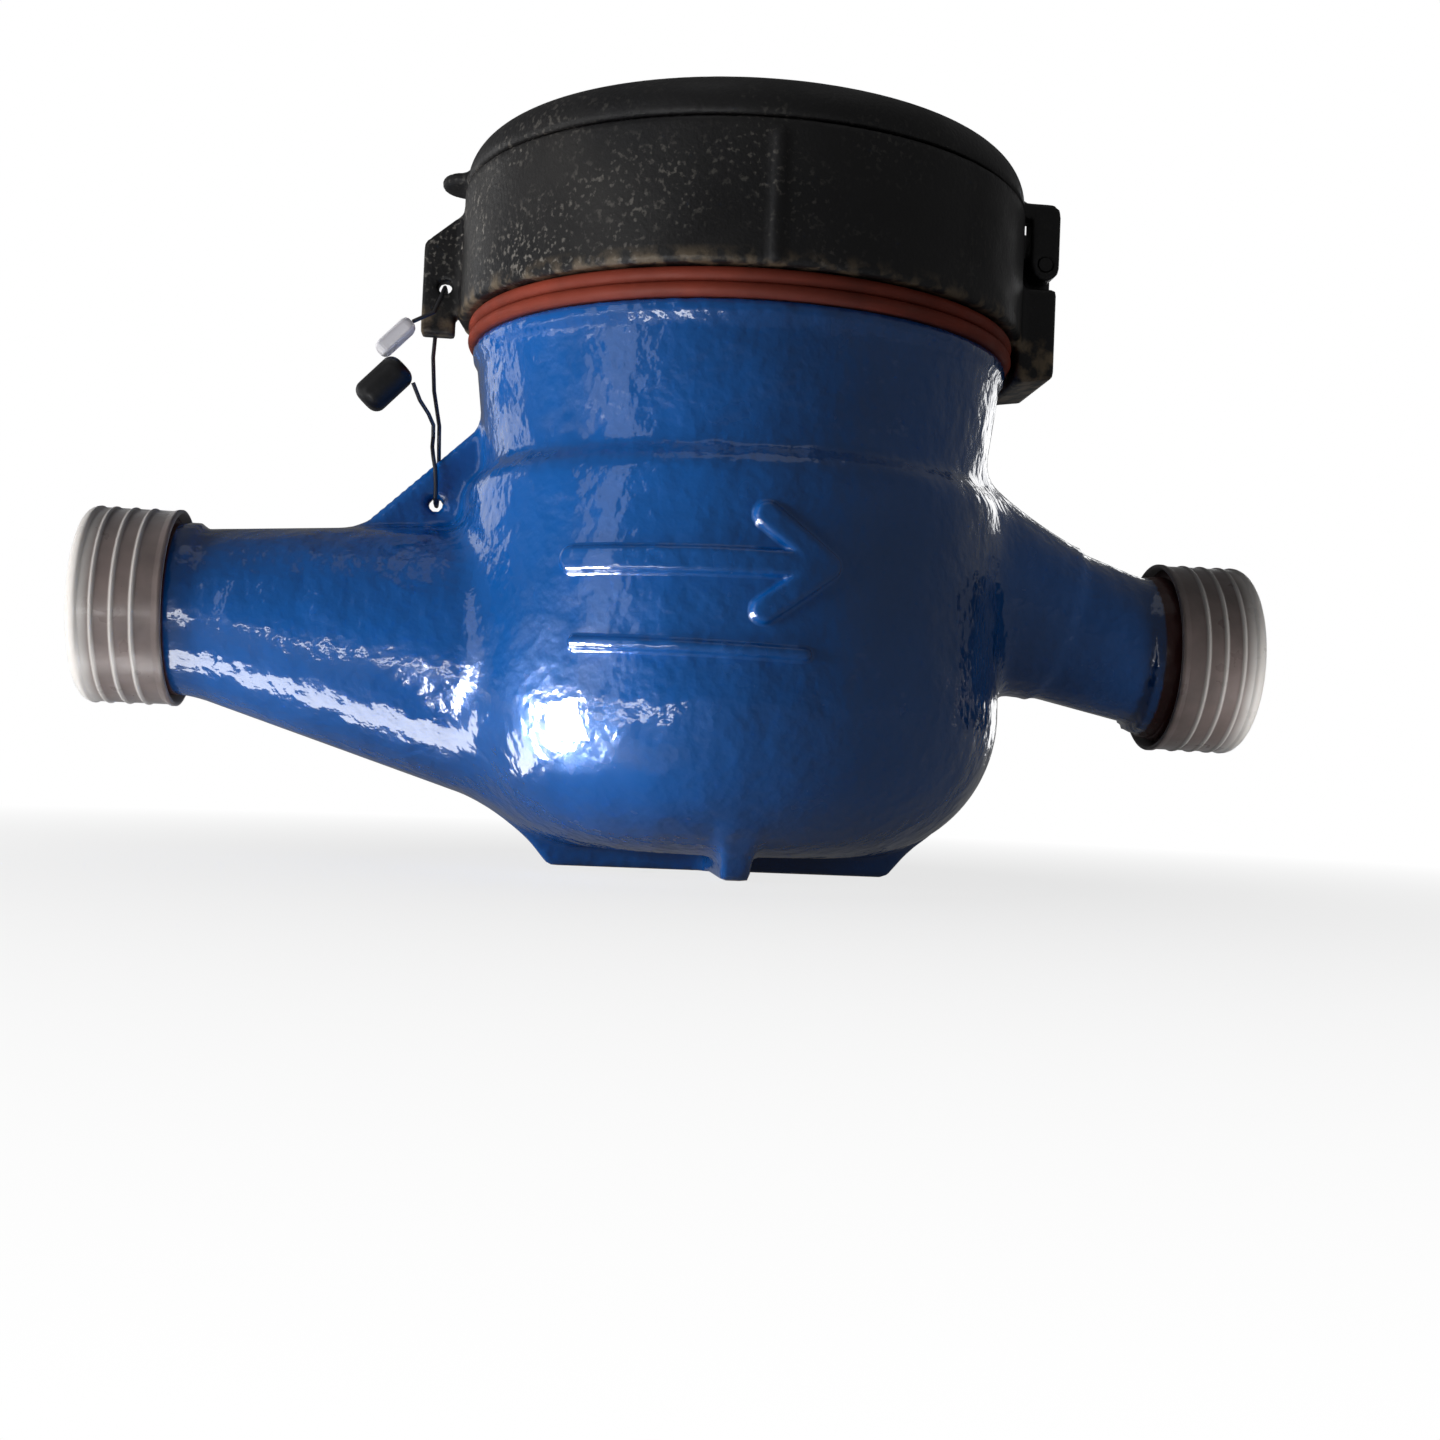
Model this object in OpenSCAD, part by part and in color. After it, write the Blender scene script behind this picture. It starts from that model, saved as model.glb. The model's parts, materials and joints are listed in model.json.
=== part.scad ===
// Multi-jet water meter for a 15 mm pipe, with hinged lid, wire seal and push-on thread caps
// Origin on the barrel axis in the plane of the feet, +X along the flow, front at -Y, millimetres

/* [Pipe] */
// Length between the two thread ends
meter_length = 165; // [155:0.5:175]
// Distance from the barrel axis to the inlet thread end
inlet_reach = 89.6; // [86:0.1:94]
// Height of the pipe axis above the feet
pipe_axis_z = 34.3; // [32.5:0.1:36]
// Bore of the inlet and outlet
bore_d = 15; // [13:0.1:16]
// Outer diameter of the pipe thread
thread_d = 26.44; // [25.5:0.02:27.5]
// Pitch of the pipe thread
thread_pitch = 1.814; // [1.6:0.001:2.2]
// Length of each pipe thread
thread_len = 12; // [11:0.1:14]

/* [Body casting] */
// Outer radius of the barrel
barrel_r = 39.2; // [38.5:0.1:42]
// Wall of the barrel
barrel_wall = 5.2; // [4.5:0.1:6]
// Rounding between the barrel and its bottom
dome_r = 21; // [18:0.5:23]
// Height of the barrel's bottom above the feet
floor_z = 3; // [2.5:0.1:4]
// Height of the barrel's shoulder
shoulder_z = 56; // [55.5:0.1:57.5]
// Rounding of the shoulder
shoulder_r = 4; // [2:0.5:5]
// How far the neck stands in from the barrel
neck_in = 3; // [2:0.1:3.4]
// Growth of the neck's radius up to its flange
neck_flare = 1.7; // [0.5:0.1:2]
// Wall of the neck inside its thread
neck_wall = 4.8; // [4.2:0.1:5.4]
// Height of the neck's thread above its flange
neck_thread_h = 11.2; // [11:0.1:12]
// How far the neck's top flange stands out from the neck
flange_out = 2.4; // [2.1:0.1:2.8]
// Thickness of the neck's top flange
flange_t = 2; // [1.5:0.1:3]
// Height of the flange's upper face
flange_z = 73.8; // [73:0.1:75]
// Height of the partition between the inlet and outlet chambers
ledge_z = 31; // [30:0.1:32]
// Thickness of the partition
ledge_t = 3; // [2.5:0.1:3.6]
// Width of the partition from the barrel's wall inwards
ledge_w = 4.8; // [4.4:0.1:5.2]

/* [Nozzles] */
// Outer radius of the inlet nozzle behind its thread
inlet_tip_r = 11.4; // [11:0.1:12]
// Radius of the inlet nozzle at the barrel
inlet_root_r = 21.2; // [19:0.1:22]
// Height of the inlet nozzle's middle at the barrel
inlet_root_z = 28; // [27.5:0.1:31]
// Outer radius of the outlet nozzle behind its thread
outlet_tip_r = 10.4; // [10.2:0.1:12]
// Radius of the outlet nozzle at the barrel
outlet_root_r = 17; // [15:0.1:18]
// Height of the outlet nozzle's middle at the barrel
outlet_root_z = 43.4; // [41:0.1:44]

/* [Feet and seal web] */
// Thickness of the foot ribs
foot_t = 4; // [3:0.1:6]
// How far the feet stand in from the barrel's side
foot_in = 14.6; // [12:0.1:17]
// Thickness of the seal web and the seal ear
web_t = 3; // [2.4:0.1:4]
// Diameter of the holes for the seal wire
wire_hole_d = 2; // [1.6:0.1:2.4]

/* [Cover ring and lid] */
// How far the cover ring stands out past the barrel
ring_out = 1.6; // [1.2:0.1:2.4]
// Thickness of the ring's lip over the glass
lip_t = 3.7; // [3:0.1:4]
// Width of the ring's lip inside its thread
lip_w = 5.9; // [5:0.1:6.6]
// Thickness of each neck gasket
gasket_t = 1.9; // [1.6:0.05:2.2]
// How far the neck gaskets stand out past the flange
gasket_out = 0.9; // [0.5:0.1:1.2]
// Height of the lid
lid_h = 6.3; // [6:0.1:9]
// Rounding of the lid's edge
lid_edge_r = 5.5; // [4:0.1:5.8]
// Wall of the lid
lid_wall = 2; // [1.6:0.1:2.4]
// Radius of the hinge pin
pin_r = 1; // [0.8:0.05:1.1]
// Distance from the ring's wall to the hinge pin
hinge_out = 2.3; // [2.2:0.1:3]
// Width of the hinge over both ears
hinge_w = 18; // [16:0.5:22]
// Width of the hinge's middle tongue
tongue_w = 10; // [8:0.5:11]
// Thickness of the glass
glass_t = 5; // [4:0.1:5.5]

/* [Measuring chamber] */
// Gap between the measuring cup and the partition
cup_gap = 0.8; // [0.6:0.1:1]
// Depth of the cup below its seat
cup_depth = 22.8; // [22:0.1:23.4]
// Height of the cup above its seat
cup_rise = 15.2; // [15:0.1:15.5]
// Wall of the measuring cup
cup_wall = 1.6; // [1.2:0.1:2]
// Number of jets in each row of the cup
jet_count = 8; // [6:1:10]
// Number of vanes on the impeller
vane_count = 7; // [5:1:9]
// Gap between the vanes and the cup
vane_gap = 2; // [1.5:0.1:3]
// Height of the impeller's hub
hub_h = 22; // [20:0.5:23]
// Radius of the impeller's pivot pin
pivot_r = 1; // [0.8:0.05:1.3]
// Radius of the impeller's shaft
shaft_r = 1.5; // [1.2:0.05:1.6]

/* [Register] */
// Module of the reduction gears
gear_module = 0.6; // [0.58:0.005:0.62]
// Teeth of each pinion
pinion_teeth = 8; // [7:1:9]
// Teeth of each wheel
wheel_teeth = 24; // [23:1:25]
// Radius of the gear arbors and pointer spindles
arbor_r = 0.8; // [0.7:0.05:0.9]
// Radius of the circle of the four pointers
pointer_circle_r = 17; // [16.5:0.1:17.5]
// Length of the pointers
pointer_len = 5.2; // [4:0.1:6]
// Radius of the number drums
drum_r = 6; // [5.5:0.1:6.2]
// Width of each number drum
drum_w = 4.4; // [4:0.1:4.6]

/* [Thread caps] */
// Wall of the caps
cap_wall = 0.6; // [0.5:0.05:1]
// End wall of the caps
cap_end = 1.2; // [0.8:0.1:2]
// Length of the caps
cap_len = 12.75; // [12:0.05:14]
// Rounding of the caps' end corners
cap_edge_r = 1.6; // [0.8:0.1:2]

/* [Clearances] */
// Radial gap of a turning fit
running_gap = 0.05; // [0.03:0.01:0.08]
// Radial gap of a sliding seat
slide_gap = 0.1; // [0.05:0.01:0.2]
// Gap between faces that move past each other
free_gap = 0.3; // [0.2:0.05:0.4]

/* [Hidden] */
$fn = 96;
eps = 0.01;
outlet_reach = meter_length - inlet_reach;
bore_r = bore_d / 2;
thread_r = thread_d / 2;
thread_depth = 0.64 * thread_pitch;
inlet_neck_x = -inlet_reach + thread_len;
outlet_neck_x = outlet_reach - thread_len;
collar_len = 2.5;
inlet_sink = 13;
outlet_sink = 8;

// Radii of the neck, its gaskets and the ring, from the barrel
neck_r = barrel_r - neck_in;
neck_thread_r = neck_r + 0.1;
neck_bore_r = neck_thread_r - neck_wall;
flange_r = neck_r + flange_out;
gasket_r = flange_r + gasket_out;
ring_r = barrel_r + ring_out;
foot_reach = barrel_r - foot_in;

// Cavities of the body
chamber_r = barrel_r - barrel_wall;
chamber_floor_z = floor_z + barrel_wall - 1.2;
ledge_top_z = ledge_z + ledge_t;
chamber_top_z = shoulder_z - 2;
neck_top_z = flange_z + neck_thread_h;
passage_r = bore_r + 0.6;
inlet_port_z = 20;
outlet_port_z = 44;

// Seats of the chamber, from the partition upwards
seal_t = 0.8;
cup_flange_t = 2;
cup_flange_r = neck_bore_r - free_gap;
cup_seat_z = ledge_top_z + seal_t;
cup_bottom_z = cup_seat_z - cup_depth;
cup_floor_t = 2;
cup_top_z = cup_seat_z + cup_rise;
ledge_bore_r = chamber_r - ledge_w;
cup_r = ledge_bore_r - cup_gap;
cup_bore_r = cup_r - cup_wall;
jet_w = 3;
jet_h = 5;
jet_turn = 55;
jet_rise = 6.5;
jet_in_z = cup_bottom_z + jet_rise;
jet_out_z = cup_seat_z + cup_flange_t + jet_rise - 0.5;
cover_plug_t = 2.5;
cover_flange_t = 2.5;
cover_top_z = cup_top_z + cover_flange_t;
bush_wall = 1;

// Impeller
pivot_boss_r = 4;
pivot_h = 14;
pivot_top_z = cup_bottom_z + pivot_h;
hub_r = 4;
hub_lift = 4.5;
hub_bottom_z = cup_bottom_z + cup_floor_t + hub_lift;
hub_top_z = hub_bottom_z + hub_h;
vane_r = cup_bore_r - vane_gap;
vane_t = 1.2;
vane_bottom_z = hub_bottom_z;
vane_top_z = hub_top_z - 1;

bush_r = pivot_r + running_gap + bush_wall + 0.3;
bush_top_z = pivot_top_z + running_gap + bush_wall;
shaft_seat_h = 6;
shaft_foot_z = hub_top_z - shaft_seat_h;
cover_bush_r = shaft_r + running_gap + bush_wall;

// Reduction gears between the two plates
plate_t = 2;
plate_r = neck_bore_r - free_gap;
gear_room = 10.5;
plate_low_z = cover_top_z;
gear_z = plate_low_z + plate_t;
plate_high_z = gear_z + gear_room;
case_z = plate_high_z + plate_t;
wheel_t = 1.5;
pinion_t = 2.5;
layer_step = 3;
pinion_z = gear_z + 1;
gear_spacing = gear_module * (pinion_teeth + wheel_teeth) / 2;
pillar_r = 2;
pillar_circle_r = plate_r - 3.5;
pillar_angles = [60, 150, 210, 300];

// Register case, dial and pointers
case_h = 12.5;
dial_z = case_z + case_h;
dial_t = 1;
dial_top_z = dial_z + dial_t;
pointer_z = dial_top_z + 0.6;
pointer_t = 0.7;
pointer_angles = [-20, -65, -115, -160];
function pointer_at(i) = pointer_circle_r * [cos(pointer_angles[i]), sin(pointer_angles[i])];
drum_count = 5;
drum_pitch = drum_w + 0.4;
drum_y = 11;
drum_z = dial_z - 0.2 - drum_r;
drum_shaft_r = 1;
bay_half = drum_count * drum_pitch / 2 + 2;
window_w = drum_count * drum_pitch;
window_h = 5;
shaft_seat = 3;
spindle_foot_z = case_z + 3;
star_r = 3;
dial_screw_r = 0.8;
dial_screw_len = 4;
dial_screw_in = 5.15;
dial_screw_at = (plate_r - dial_screw_in) * [cos(35), sin(35)];

// Arbors: the third stands under the first pointer, the first reaches both neighbours
third_at = pointer_at(0);
second_at = third_at + gear_spacing * [-cos(38.7), sin(38.7)];
first_at = first_between([0, 0], second_at, gear_spacing);
function first_between(a, b, reach) =
    let (d = b - a, side = sqrt(reach * reach - d * d / 4))
    (a + b) / 2 + side * [-d[1], d[0]] / norm(d);

// Glass under the ring's lip
glass_gasket_t = 1.5;
glass_z = neck_top_z + glass_gasket_t;
glass_r = neck_thread_r - 0.8;
pressure_z = glass_z + glass_t;
pressure_t = 1;
gasket_bore_r = neck_thread_r + slide_gap;
ring_z = flange_z + 2 * gasket_t;
ring_bore_r = neck_thread_r + slide_gap;
lip_bore_r = ring_bore_r - lip_w;
lip_z = pressure_z + pressure_t;
ring_top_z = lip_z + lip_t;

// Lid and hinge
lid_z = ring_top_z + 0.2;
lid_top_z = lid_z + lid_h;
lid_r = ring_r - 0.2;
hinge_x = ring_r + hinge_out;
hinge_drop = 6.5;
hinge_z = ring_top_z - hinge_drop;
ear_r = pin_r + 1.2;
ear_top_z = lid_z + 2.2;
lug_top_z = hinge_z - ear_r - 1.3;
lug_x = hinge_x + 1.8;
lug_foot_z = ring_z - 4.4;
lug_root_x = ring_r - 1.8;

// Seal ear and seal web
ear_hole = [-ring_r - 2.3, ring_z + 4.9];
ear_tip_x = ring_r + 5.5;
ear_root_x = 1.5 - ring_r;
web_hole = [-barrel_r - 3.8, shoulder_z - 5];
web_low = [-barrel_r - 16.3, shoulder_z - 10.7];
web_high = [2.2 - neck_r, shoulder_z + 9.6];

// Seal: two points of the barrel's axis as [x, z] from the ear hole, and how far it hangs in front
seal_y = -3.4;
rotor_tail = ear_hole + [-10.5, -17.9];
rotor_head = ear_hole + [-5.1, -12.2];
rotor_r = 2.5;
shell_t = 3.2;
shell_h = 2.2;
shell_from = 2.6;
shell_to = 9.05;
seal_middle = (rotor_tail + rotor_head) / 2;
seal_way = (rotor_head - rotor_tail) / norm(rotor_head - rotor_tail);
seal_up = [-seal_way[1], seal_way[0]];
shell_low = rotor_r + slide_gap;

// Seal wire: hand-set points, first from the web hole, then from the ear hole
wire_r = 0.3;
wire_sides = 8;
web_wire = [
    [-2.8, -2.6, 14.6], [-1.6, -1.4, 13], [-0.9, -0.3, 11.6], [-0.9, 0.5, 10], [-0.9, -0.4, 8.4],
    [-0.6, -1.7, 6.8], [-0.2, -2.2, 5], [0, -2.3, 2.5], [0, -2.1, 0.8], [0, -1.4, 0.1], [0, 0, 0],
    [0, 1.4, 0.1], [0, 2.1, 0.8], [0, 2.3, 2.5], [-0.1, 2.2, 5], [0, 1.7, 6.8], [0, 0.5, 8.4],
    [0, -0.4, 10], [-0.1, 0.4, 11.6], [-0.5, 1.4, 13.5]
];
ear_wire = [
    [-1.1, 2, -14.5], [-1.5, 2.4, -9.5], [-1.3, 2.4, -5.5], [-0.5, 2.3, -1.9], [-0.1, 2.1, -0.6],
    [0, 1.4, -0.1], [0, 0, 0], [0, -1.4, -0.1], [-0.1, -2.1, -0.6], [-0.5, -2.4, -1.9],
    [-1.3, -2.7, -4.1]
];
rotor_tie = rotor_head - 0.8 * seal_way - (rotor_r + 0.16) * seal_up;
shell_tie = seal_middle + (shell_to + 0.12) * seal_way + (shell_low + shell_h / 2) * seal_up;
wire_path = concat(
    [[rotor_tie[0], seal_y, rotor_tie[1]]],
    [for (p = web_wire) [web_hole[0], 0, web_hole[1]] + p],
    [for (p = ear_wire) [ear_hole[0], 0, ear_hole[1]] + p],
    [[shell_tie[0], seal_y, shell_tie[1]]]
);

// Ring about the barrel axis
module ring(z, h, r_in, r_out) {
    translate([0, 0, z])
        difference() {
            cylinder(h = h, r = r_out);
            translate([0, 0, -1]) cylinder(h = h + 2, r = r_in);
        }
}

// Cone between two points of the plane y = 0, each given as [x, z]
module taper(from, to, r_from, r_to) {
    span = to - from;
    translate([from[0], 0, from[1]])
        rotate([0, atan2(span[0], span[1]), 0])
            cylinder(h = norm(span), r1 = r_from, r2 = r_to);
}

// Plate of thickness t about y, cut to an outline drawn in x and z
module upright_plate(t, y = 0) {
    translate([0, y + t / 2, 0]) rotate([90, 0, 0]) linear_extrude(height = t) children();
}

// Round bar along Y at a point given as [x, z]
module cross_bar(at, r, w) {
    translate([at[0], w / 2, at[1]]) rotate([90, 0, 0]) cylinder(h = w, r = r);
}

// Quarter of a disc to the right of its centre, below it or above it
module quarter_disc(r, below) {
    intersection() {
        circle(r);
        translate([0, below ? -r : 0]) square(r);
    }
}

// Half outline of the barrel, shoulder, neck, flange and neck thread
module body_outline() {
    straight_z = floor_z + dome_r;
    translate([0, floor_z]) square([barrel_r - dome_r, shoulder_z - floor_z]);
    translate([0, straight_z]) square([barrel_r, shoulder_z - shoulder_r - straight_z]);
    translate([0, straight_z]) square([barrel_r - shoulder_r, shoulder_z - straight_z]);
    translate([barrel_r - dome_r, straight_z]) quarter_disc(dome_r, true);
    translate([barrel_r - shoulder_r, shoulder_z - shoulder_r]) quarter_disc(shoulder_r, false);
    polygon([
        [0, straight_z], [neck_r, straight_z], [neck_r, shoulder_z + 1],
        [neck_r + neck_flare, flange_z - flange_t - 1.5], [flange_r, flange_z - flange_t],
        [flange_r, flange_z], [0, flange_z]
    ]);
    translate([0, flange_z - flange_t]) square([neck_thread_r, neck_top_z - flange_z + flange_t]);
}

// Half outline of the two chambers, the partition's hole and the neck bore
module cavity_outline() {
    round_r = dome_r - barrel_wall;
    straight_z = chamber_floor_z + round_r;
    translate([0, chamber_floor_z]) square([chamber_r - round_r, ledge_z - chamber_floor_z]);
    translate([0, straight_z]) square([chamber_r, ledge_z - straight_z]);
    translate([chamber_r - round_r, straight_z]) quarter_disc(round_r, true);
    translate([0, ledge_z - 1]) square([ledge_bore_r, ledge_t + 2]);
    translate([0, ledge_top_z]) square([chamber_r, chamber_top_z - ledge_top_z]);
    translate([0, chamber_top_z - 1]) square([neck_bore_r, neck_top_z - chamber_top_z + 2]);
}

// Half outline of a pipe thread as a stack of ridges, from its open end
module thread_outline() {
    ridges = floor(thread_len / thread_pitch) - 1;
    root_r = thread_r - thread_depth;
    ridge = [[root_r, 0.1], [thread_r, 0.4], [thread_r, 0.6], [root_r, 0.9]];
    polygon(concat(
        [[0, 0], [root_r, 0]],
        [for (i = [0 : ridges - 1], p = ridge) [p[0], (i + 0.5 + p[1]) * thread_pitch]],
        [[root_r, thread_len], [0, thread_len]]
    ));
}

// Collar at the inner end of a pipe thread
module collar(x, r) {
    translate([x, 0, pipe_axis_z]) rotate([0, 90, 0]) cylinder(h = collar_len, r = r);
}

// Inlet and outlet nozzles with their collars and threads
module nozzles() {
    inlet_tip = [inlet_neck_x - 1, pipe_axis_z];
    inlet_root = [inlet_sink - barrel_r, inlet_root_z];
    outlet_root = [barrel_r - outlet_sink, outlet_root_z];
    outlet_tip = [outlet_neck_x + 1, pipe_axis_z];
    outlet_waist = (outlet_tip + outlet_root) / 2;
    taper(inlet_tip, inlet_root, inlet_tip_r, inlet_root_r);
    taper(outlet_tip, outlet_root, outlet_tip_r, outlet_tip_r + 2);
    taper(outlet_waist, outlet_root, outlet_tip_r + 0.6, outlet_root_r);
    collar(inlet_neck_x, inlet_tip_r + 0.8);
    collar(outlet_neck_x - collar_len, outlet_tip_r + 1);
    translate([-inlet_reach, 0, pipe_axis_z]) rotate([0, 90, 0]) rotate_extrude() thread_outline();
    translate([outlet_reach, 0, pipe_axis_z]) rotate([0, -90, 0]) rotate_extrude() thread_outline();
}

// Bores of the nozzles and the passages to the lower and the upper chamber
module passages() {
    inlet_bend = [inlet_neck_x + 5.5, pipe_axis_z];
    outlet_bend = [outlet_neck_x - 3, pipe_axis_z];
    taper([-inlet_reach - 1, pipe_axis_z], inlet_bend + [1.5, 0], bore_r, bore_r);
    taper(inlet_bend, [2 - chamber_r, inlet_port_z], passage_r, passage_r);
    taper(outlet_bend - [1.5, 0], [outlet_reach + 1, pipe_axis_z], bore_r, bore_r);
    taper(outlet_bend, [chamber_r - 3, outlet_port_z], passage_r, passage_r);
}

// Cross of two ribs that the meter stands on
module foot_ribs() {
    spread = 6;
    rise = floor_z + 4.2;
    for (turn = [0, 90])
        rotate([0, 0, turn])
            upright_plate(foot_t)
                polygon([
                    [-foot_reach, 0], [foot_reach, 0], [foot_reach + spread, rise],
                    [0, rise + 6], [-foot_reach - spread, rise]
                ]);
}

module body_casting() {
    color("royalblue")
        difference() {
            union() {
                rotate_extrude() body_outline();
                nozzles();
                foot_ribs();
                upright_plate(web_t) polygon([web_low, web_high, [web_high[0], web_low[1]]]);
            }
            rotate_extrude() cavity_outline();
            passages();
            cross_bar(web_hole, wire_hole_d / 2, web_t + 2);
        }
}

module inlet_strainer() {
    strainer_r = bore_r - running_gap;
    mouth_x = -inlet_reach + 6.5;
    depth = 12;
    end_t = 1.2;
    hole_r = 1.3;
    color("ivory")
        translate([mouth_x, 0, pipe_axis_z])
            rotate([0, 90, 0])
                difference() {
                    cylinder(h = depth, r = strainer_r);
                    translate([0, 0, -1]) cylinder(h = depth - end_t + 1, r = strainer_r - 0.9);
                    translate([0, 0, depth - end_t - 1]) cylinder(h = end_t + 2, r = hole_r);
                    for (i = [0 : 5])
                        rotate([0, 0, 60 * i])
                            translate([strainer_r - 3.2, 0, depth - end_t - 1])
                                cylinder(h = end_t + 2, r = hole_r);
                }
}

module chamber_seal() {
    color("black") ring(ledge_top_z, seal_t, ledge_bore_r + slide_gap, cup_flange_r);
}

// Row of slanted slots through the measuring cup's wall
module jets(z, turn) {
    reach = 8;
    for (i = [0 : jet_count - 1])
        rotate([0, 0, 360 * i / jet_count])
            translate([cup_r - cup_wall / 2, 0, z])
                rotate([0, 0, turn]) cube([reach, jet_w, jet_h], center = true);
}

module measuring_cup() {
    boss_h = 3;
    color("ivory")
        difference() {
            union() {
                translate([0, 0, cup_bottom_z]) cylinder(h = cup_top_z - cup_bottom_z, r = cup_r);
                translate([0, 0, cup_seat_z]) cylinder(h = cup_flange_t, r = cup_flange_r);
            }
            ring(cup_bottom_z + cup_floor_t, boss_h, pivot_boss_r, cup_bore_r);
            translate([0, 0, cup_bottom_z + cup_floor_t + boss_h])
                cylinder(h = cup_top_z - cup_bottom_z, r = cup_bore_r);
            translate([0, 0, cup_bottom_z + 1]) cylinder(h = cup_floor_t + boss_h, r = pivot_r);
            jets(jet_in_z, jet_turn);
            jets(jet_out_z, -jet_turn);
        }
}

module pivot_pin() {
    color("silver")
        translate([0, 0, cup_bottom_z + 1]) cylinder(h = pivot_h - 1, r = pivot_r);
}

module impeller() {
    vane_root_r = hub_r - 1;
    color("white")
        difference() {
            union() {
                translate([0, 0, hub_bottom_z]) cylinder(h = hub_top_z - hub_bottom_z, r = hub_r);
                for (i = [0 : vane_count - 1])
                    rotate([0, 0, 360 * i / vane_count])
                        translate([vane_root_r, -vane_t / 2, vane_bottom_z])
                            cube([vane_r - vane_root_r, vane_t, vane_top_z - vane_bottom_z]);
            }
            translate([0, 0, hub_bottom_z - 1]) cylinder(h = bush_top_z - hub_bottom_z + 1, r = bush_r);
            translate([0, 0, shaft_foot_z]) cylinder(h = hub_top_z, r = shaft_r);
        }
}

module impeller_bush() {
    color("darkred")
        difference() {
            translate([0, 0, hub_bottom_z]) cylinder(h = bush_top_z - hub_bottom_z, r = bush_r);
            translate([0, 0, hub_bottom_z - 1])
                cylinder(h = pivot_top_z + running_gap - hub_bottom_z + 1, r = pivot_r + running_gap);
        }
}

// Outline of a gear with slender teeth, the first one pointing along +X
module gear_outline(teeth) {
    pitch_r = gear_module * teeth / 2;
    tip_r = pitch_r + 0.9 * gear_module;
    root_r = pitch_r - 1.15 * gear_module;
    flank = [[root_r, -0.2], [tip_r, -0.09], [tip_r, 0.09], [root_r, 0.2]];
    polygon([
        for (i = [0 : teeth - 1], p = flank)
            p[0] * [cos((i + p[1]) * 360 / teeth), sin((i + p[1]) * 360 / teeth)]
    ]);
}

// Direction in degrees from one arbor to another
function bearing(from, to) = atan2(to[1] - from[1], to[0] - from[0]);

// Pinion whose tooth points at the next arbor
module pinion(stage, at, next) {
    translate([at[0], at[1], pinion_z + stage * layer_step])
        rotate([0, 0, bearing(at, next)])
            linear_extrude(height = pinion_t) gear_outline(pinion_teeth);
}

// Wheel with its arbor, whose tooth gap faces the arbor before it
module wheel(stage, at, before, arbor_top_z) {
    wheel_z = pinion_z + (stage - 1) * layer_step + (pinion_t - wheel_t) / 2;
    hub_z = gear_z + free_gap;
    arbor_foot_z = plate_low_z + free_gap;
    translate([at[0], at[1], wheel_z])
        rotate([0, 0, bearing(at, before) + 180 / wheel_teeth])
            linear_extrude(height = wheel_t) gear_outline(wheel_teeth);
    translate([at[0], at[1], hub_z]) cylinder(h = wheel_z - hub_z + eps, r = arbor_r + 0.6);
    translate([at[0], at[1], arbor_foot_z]) cylinder(h = arbor_top_z - arbor_foot_z, r = arbor_r);
}

module impeller_shaft() {
    color("silver") {
        translate([0, 0, shaft_foot_z]) cylinder(h = pinion_z - shaft_foot_z + eps, r = shaft_r);
        pinion(0, [0, 0], first_at);
    }
}

module chamber_cover() {
    color("ivory")
        difference() {
            union() {
                translate([0, 0, cup_top_z - cover_plug_t])
                    cylinder(h = cover_plug_t + eps, r = cup_bore_r - slide_gap);
                translate([0, 0, cup_top_z]) cylinder(h = cover_flange_t, r = cup_r);
            }
            translate([0, 0, cup_top_z - cover_plug_t - 1])
                cylinder(h = cover_plug_t + cover_flange_t + 2, r = cover_bush_r);
        }
}

module cover_bush() {
    color("darkred")
        ring(cup_top_z - cover_plug_t, cover_plug_t + cover_flange_t, shaft_r + running_gap, cover_bush_r);
}

// Holes for spindles standing at the given places
module spindle_holes(places, z, h, gap) {
    for (at = places)
        translate([at[0], at[1], z]) cylinder(h = h, r = arbor_r + gap);
}

module gear_plate_lower() {
    color("gold")
        difference() {
            translate([0, 0, plate_low_z]) cylinder(h = plate_t, r = plate_r);
            translate([0, 0, plate_low_z - 1]) cylinder(h = plate_t + 2, r = cover_bush_r + 1);
            spindle_holes([first_at, second_at, third_at], plate_low_z - 1, plate_t + 2, running_gap);
        }
}

module gear_plate_upper() {
    color("gold")
        difference() {
            translate([0, 0, plate_high_z]) cylinder(h = plate_t, r = plate_r);
            spindle_holes([first_at, second_at, third_at], plate_high_z - 1, plate_t + 2, running_gap);
        }
}

module plate_pillars() {
    color("goldenrod")
        for (turn = pillar_angles)
            rotate([0, 0, turn])
                translate([pillar_circle_r, 0, gear_z]) cylinder(h = gear_room, r = pillar_r);
}

module gear_first() {
    color("white") {
        wheel(1, first_at, [0, 0], case_z - free_gap);
        pinion(1, first_at, second_at);
    }
}

module gear_second() {
    color("white") {
        wheel(2, second_at, first_at, pointer_z + pointer_t);
        pinion(2, second_at, third_at);
    }
}

module gear_third() {
    color("white") wheel(3, third_at, second_at, pointer_z + pointer_t);
}

module register_case() {
    bay_gap = 0.6;
    color("gainsboro")
        difference() {
            translate([0, 0, case_z]) cylinder(h = case_h, r = plate_r);
            translate([-bay_half, drum_y - drum_r - bay_gap, case_z - 1])
                cube([2 * bay_half, 2 * (drum_r + bay_gap), case_h + 2]);
            translate([-bay_half - shaft_seat, drum_y, drum_z])
                rotate([0, 90, 0]) cylinder(h = 2 * (bay_half + shaft_seat), r = drum_shaft_r);
            spindle_holes([second_at, third_at], case_z - 1, case_h + 2, running_gap);
            spindle_holes(
                [for (i = [1 : 3]) pointer_at(i)], spindle_foot_z - free_gap, case_h, running_gap
            );
            dial_screw_holes();
        }
}

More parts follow.
